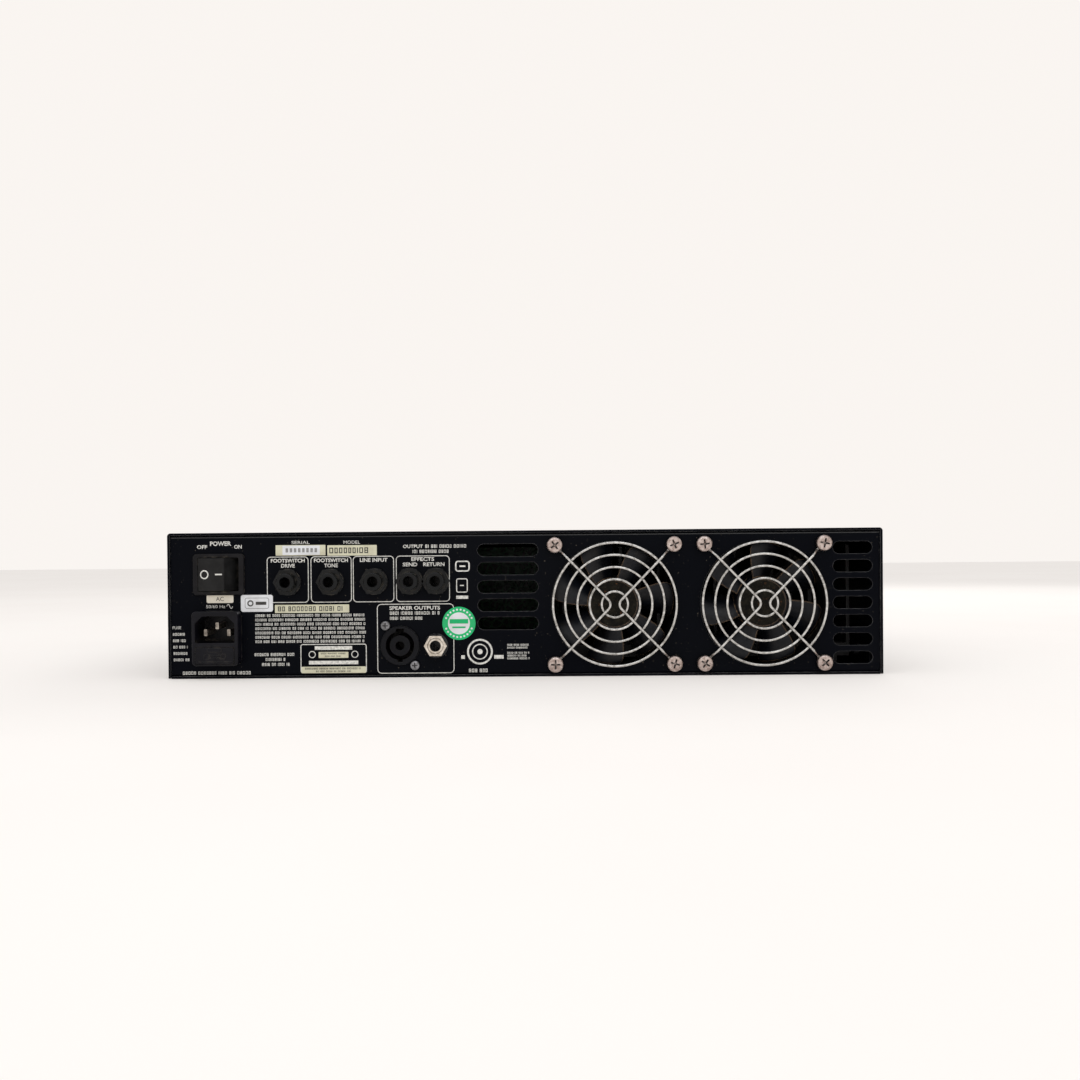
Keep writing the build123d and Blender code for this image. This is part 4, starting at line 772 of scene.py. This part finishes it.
def rear_plates():
    """Cream and white plates with blocks in place of numbers."""
    cream = Sheet(REAR, STICKER_T)
    cream.fill(centred(-134.6, 77.2, 30.1, 6.3, 0.3))
    cream.fill(centred(-103.5, 76.9, 29.9, 6.3, 0.3))
    cream.fill(centred(-128.0, 41.9, 44.9, 4.9, 0.3))
    cream.finish("cream_plates", CREAM_LABEL)
    white = Sheet(REAR, STICKER_T)
    white.fill(centred(-183.6, 48.2, 16.2, 4.9, 1.0))
    white.finish("mains_plate", paper("ivory_label", rgb(0.80, 0.76, 0.66), rgb(0.70, 0.64, 0.52)))
    number = Sheet(REAR, 0.1, STICKER_T)
    number.fill(centred(-134.2, 77.2, 22.6, 5.6, 0.3))
    number.finish("serial_sticker", WHITE_LABEL)
    text = Sheet(REAR, PRINT_T, STICKER_T + 0.1)
    for i in range(8):
        text.bar(-143.6 + 2.5 * i, -142.1 + 2.5 * i, 77.2, 2.5)
    text.finish("serial_blocks", GREY_INK)
    text = Sheet(REAR, PRINT_T, STICKER_T)
    text.blocks(-117.2, -89.8, 76.9, 3.4, 112)
    text.blocks(-148.6, -107.2, 41.9, 2.9, 113)
    text.words("AC", -183.6, 48.2, 2.5, None, 0.0)
    text.finish("plate_text", DARK_INK)


def rear_stickers():
    """The white rounded sticker and the green ring sticker, both kept free of marks."""
    white = Sheet(REAR, 0.16, PRINT_T + 0.02)
    white.fill(rounded_loop(-171.0, -151.6, 40.3, 50.5, 1.3))
    white.finish("white_sticker", WHITE_LABEL)
    text = Sheet(REAR, PRINT_T, PRINT_T + 0.18)
    text.outline(-168.4, -154.1, 42.3, 48.6, 1.2, 0.22)
    text.ring(-165.2, 45.4, 1.5, 0.8)
    text.bar(-162.0, -155.6, 45.4, 1.9)
    text.finish("white_sticker_text", DARK_INK)
    green = Sheet(REAR, 0.16, PRINT_T + 0.02)
    green.fill(circle_loop(-39.4, 32.4, 10.0, 72))
    green.finish("green_sticker", GREEN_LABEL)
    centre = Sheet(REAR, PRINT_T, PRINT_T + 0.18)
    centre.fill(circle_loop(-39.4, 32.4, 6.6, 64))
    for i in range(24):
        if i % 12 not in (0, 11):
            angle = math.radians(15 * i + 7.5)
            u, v = -39.4 + 8.3 * math.cos(angle), 32.4 + 8.3 * math.sin(angle)
            centre.fill(circle_loop(u, v, 0.62, 8))
    centre.finish("green_sticker_centre", WHITE_LABEL)
    text = Sheet(REAR, PRINT_T, 2 * PRINT_T + 0.18)
    text.bar(-45.0, -33.8, 33.6, 2.7)
    text.bar(-43.4, -35.4, 30.0, 1.0)
    text.finish("green_sticker_text", GREEN_INK)


rear_boxes()
rear_captions()
rear_marks()
caution_box()
rear_plates()
rear_stickers()


# === Switch and inlet details ===================================================================================
def rocker_marks():
    """Ring for off and bar for on, printed on the rocker's face."""
    marks = Sheet(REAR, 0.05)
    marks.ring(-192.0, 63.0, 2.35, 0.75)
    marks.bar(-185.0, -180.4, 63.1, 0.85)
    marks.finish("rocker_marks", WHITE_INK, "power_rocker", onto="power_rocker")


def fuse_symbol():
    """Raised cartridge outline and a grip line on the drawer's face."""
    raised = Sheet(REAR, 0.25, 0.0)
    u, v = -184.5, 14.2
    raised.outline(u - 6.4, u - 3.6, v - 1.5, v + 1.5, 0.5, 0.35)
    raised.outline(u + 3.6, u + 6.4, v - 1.5, v + 1.5, 0.5, 0.35)
    for dv in (-0.8, 0.8):
        raised.bar(u - 3.4, u + 3.4, v + dv, 0.35)
    raised.bar(u - 9.8, u + 9.8, v - 3.1, 0.35)
    raised.finish("fuse_symbol", MATERIALS["inlet_moulding"], "fuse_drawer", onto="fuse_drawer")


rocker_marks()
fuse_symbol()

# === Front panel prints =========================================================================================
KNOB_SPAN = 150.0
KNOB_NAMES = {
    "input": "INPUT", "drive": "DRIVE", "bass": "BASS",
    "middle": "MIDDLE", "treble": "TREBLE", "output": "OUTPUT",
}
FADER_NAMES = {"low": "LOW", "low_middle": "LO MID", "high_middle": "HI MID", "high": "HIGH"}
BUTTON_NAMES = {"pad": "PAD", "drive": "DRIVE", "mute": "MUTE"}


def middle_of(node):
    low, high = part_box(node)
    return (low + high) / (2 * MM)


def knob_scales(ink_sheet):
    """Eleven ticks round each knob, numbers at both ends and the middle, and its name."""
    for key, name in KNOB_NAMES.items():
        centre = middle_of(key + "_knob")
        for step in range(11):
            angle = math.radians(90 + KNOB_SPAN - 2 * KNOB_SPAN / 10 * step)
            reach = 14.8 if step % 5 else 15.4
            points = [(centre.x + r * math.cos(angle), centre.z + r * math.sin(angle)) for r in (12.8, reach)]
            ink_sheet.stroke(points, 0.5)
            if step % 5 == 0:
                u, v = centre.x + 18.0 * math.cos(angle), centre.z + 17.6 * math.sin(angle)
                ink_sheet.words(str(step), u, v, 2.2)
        ink_sheet.words(name, centre.x, centre.z - 23.5, 2.6)


def fader_scales(ink_sheet):
    for key, name in FADER_NAMES.items():
        centre = middle_of(key + "_fader")
        for step in range(-5, 6):
            v = centre.z + 2.0 * step
            long = 1.8 if step % 5 == 0 else 1.0
            for side in (-1, 1):
                inner = centre.x + side * 5.6
                ink_sheet.bar(min(inner, inner + side * long), max(inner, inner + side * long), v, 0.35)
        ink_sheet.words(name, centre.x, centre.z - 22.0, 2.0)
        ink_sheet.words("+", centre.x, centre.z + 19.0, 1.8)


def front_prints():
    ink_sheet = Sheet(FRONT)
    knob_scales(ink_sheet)
    fader_scales(ink_sheet)
    for key, name in BUTTON_NAMES.items():
        centre = middle_of(key + "_button")
        ink_sheet.words(name, centre.x, centre.z - 8.0, 2.2)
    led = middle_of("power_led")
    ink_sheet.words("POWER", led.x - 11.5, led.z, 2.4)
    jack = middle_of("input_jack")
    ink_sheet.words("INSTRUMENT", jack.x, 22.5, 2.4, 18.0)
    output = middle_of("di_socket")
    ink_sheet.words("DI OUTPUT", output.x, 24.0, 2.4, 15.0)
    ink_sheet.finish("front_print", WHITE_INK)


def meter_scale():
    """Arc, ticks and numbers on the scale plate behind the needle."""
    low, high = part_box("meter_housing")
    centre_u = (low.x + high.x) / (2 * MM)
    pivot_v = (low.z + high.z) / (2 * MM) - 12.0
    plate = FRONT.moved(centre_u, pivot_v, -14.0)
    marks = Sheet(plate, PRINT_T)
    arc = [(22.0 * math.cos(a), 22.0 * math.sin(a)) for a in (math.radians(135 - 90 * i / 40) for i in range(41))]
    marks.stroke(arc[:29], 0.35)
    for i in range(11):
        angle = math.radians(135 - 9 * i)
        marks.stroke([(r * math.cos(angle), r * math.sin(angle)) for r in (22.0, 24.2)], 0.35)
    for i, label in ((0, "0"), (5, "5"), (10, "10")):
        angle = math.radians(135 - 9 * i)
        marks.words(label, 26.2 * math.cos(angle), 25.6 * math.sin(angle), 1.7)
    marks.words("LEVEL", 0.0, 10.0, 2.2)
    marks.finish("meter_scale", DARK_INK)
    over = Sheet(plate, PRINT_T)
    over.stroke(arc[28:], 0.9)
    over.finish("meter_scale_red", ink("red_ink", rgb(0.55, 0.02, 0.015), rgb(0.45, 0.05, 0.04)))


def knob_pointers():
    """Paint in each knob's pointer groove, turned with the knob."""
    for key in KNOB_NAMES:
        low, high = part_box(key + "_knob")
        centre = middle_of(key + "_knob")
        reach = (FRONT_Y * MM - low.y) / MM
        line = Sheet(FRONT.moved(centre.x, centre.z, reach - 0.4), 0.3)
        line.bar(-0.5, 0.5, 6.0, 7.6)
        line.finish(key + "_knob_pointer", WHITE_INK, key + "_knob")


front_prints()
meter_scale()
knob_pointers()

# === Stage, light and camera ====================================================================================
FLOOR_SIZE = 12.0
HORIZON_BAND = 0.45
FLOOR_GLOW = 0.34
FOCAL_PX = 1065.0
IMAGE_PX = 1080.0
CAMERA_AT = (-6.5, 804.9, 73.7)
CAMERA_TILT = (0.5, -0.6, 0.48)
CAMERA_CENTRE_PX = (523.5, 563.5)


def stage():
    mesh = bmesh.new()
    bmesh.ops.create_grid(mesh, x_segments=8, y_segments=8, size=FLOOR_SIZE / 2)
    data = bpy.data.meshes.new("floor")
    mesh.to_mesh(data)
    mesh.free()
    f = Finish("floor_paint", Roughness=0.75, Specular_IOR_Level=0.0)
    f.set("Emission Color", rgb(0.955, 0.90, 0.86))
    f.set("Emission Strength", FLOOR_GLOW)
    f.set("Base Color", f.blend(f.between(f.noise(0.4, 3.0), 0.3, 0.7), rgb(0.66, 0.645, 0.63), rgb(0.68, 0.67, 0.655)))
    data.materials.append(f.done())
    floor = bpy.data.objects.new("floor", data)
    bpy.context.scene.collection.objects.link(floor)


def area_light(name, place, target, size, power, tint=(1.0, 1.0, 1.0)):
    data = bpy.data.lights.new(name, "AREA")
    data.shape = "RECTANGLE"
    data.size, data.size_y = size
    data.energy = power
    data.color = tint
    lamp = bpy.data.objects.new(name, data)
    lamp.location = place
    lamp.rotation_euler = (Vector(target) - Vector(place)).to_track_quat("-Z", "Y").to_euler()
    bpy.context.scene.collection.objects.link(lamp)


def lights():
    world = bpy.data.worlds.new("studio")
    bpy.context.scene.world = world
    world.use_nodes = True
    tree = world.node_tree
    background = tree.nodes["Background"]
    background.inputs["Strength"].default_value = 1.0
    split = tree.nodes.new("ShaderNodeSeparateXYZ")
    tree.links.new(tree.nodes.new("ShaderNodeTexCoord").outputs["Generated"], split.inputs[0])
    fade = tree.nodes.new("ShaderNodeMapRange")
    fade.interpolation_type = "SMOOTHSTEP"
    fade.inputs["From Min"].default_value = HORIZON_BAND
    fade.inputs["From Max"].default_value = 1.0
    tree.links.new(split.outputs["Z"], fade.inputs["Value"])
    mix = tree.nodes.new("ShaderNodeMix")
    mix.data_type = "RGBA"
    mix.inputs[6].default_value = rgb(0.955, 0.915, 0.88)
    mix.inputs[7].default_value = rgb(0.52, 0.53, 0.55)
    tree.links.new(fade.outputs[0], mix.inputs[0])
    tree.links.new(mix.outputs[2], background.inputs["Color"])
    area_light("top_softbox", (0.0, 0.15, 1.5), (0.0, 0.05, 0.0), (1.6, 1.0), 3.0)
    area_light("rear_softbox", (0.0, 1.0, 1.1), (0.0, 0.16, 0.06), (1.6, 0.35), 3.0, (0.96, 0.98, 1.0))
    area_light("front_softbox", (-0.6, -1.25, 0.9), (0.0, -0.16, 0.03), (0.8, 0.5), 4.0, (1.0, 0.98, 0.95))


def camera():
    """Pinhole fitted to the view: its picture centre is a little left of and below the axis."""
    data = bpy.data.cameras.new("camera")
    data.sensor_width = 36.0
    data.lens = data.sensor_width * FOCAL_PX / IMAGE_PX
    data.shift_x = (IMAGE_PX / 2 - CAMERA_CENTRE_PX[0]) / IMAGE_PX
    data.shift_y = (CAMERA_CENTRE_PX[1] - IMAGE_PX / 2) / IMAGE_PX
    data.clip_start = 0.01
    data.clip_end = 50.0
    rx, ry, rz = (math.radians(a) for a in CAMERA_TILT)
    tilt = Matrix.Rotation(rz, 3, "Z") @ Matrix.Rotation(rx, 3, "X") @ Matrix.Rotation(ry, 3, "Y")
    facing = Matrix(((-1, 0, 0), (0, 0, 1), (0, 1, 0)))
    eye = bpy.data.objects.new("camera", data)
    eye.matrix_world = Matrix.Translation(Vector(CAMERA_AT) * MM) @ (tilt @ facing).transposed().to_4x4()
    bpy.context.scene.collection.objects.link(eye)
    bpy.context.scene.camera = eye


stage()
lights()
camera()
bpy.context.scene.view_settings.view_transform = "Standard"
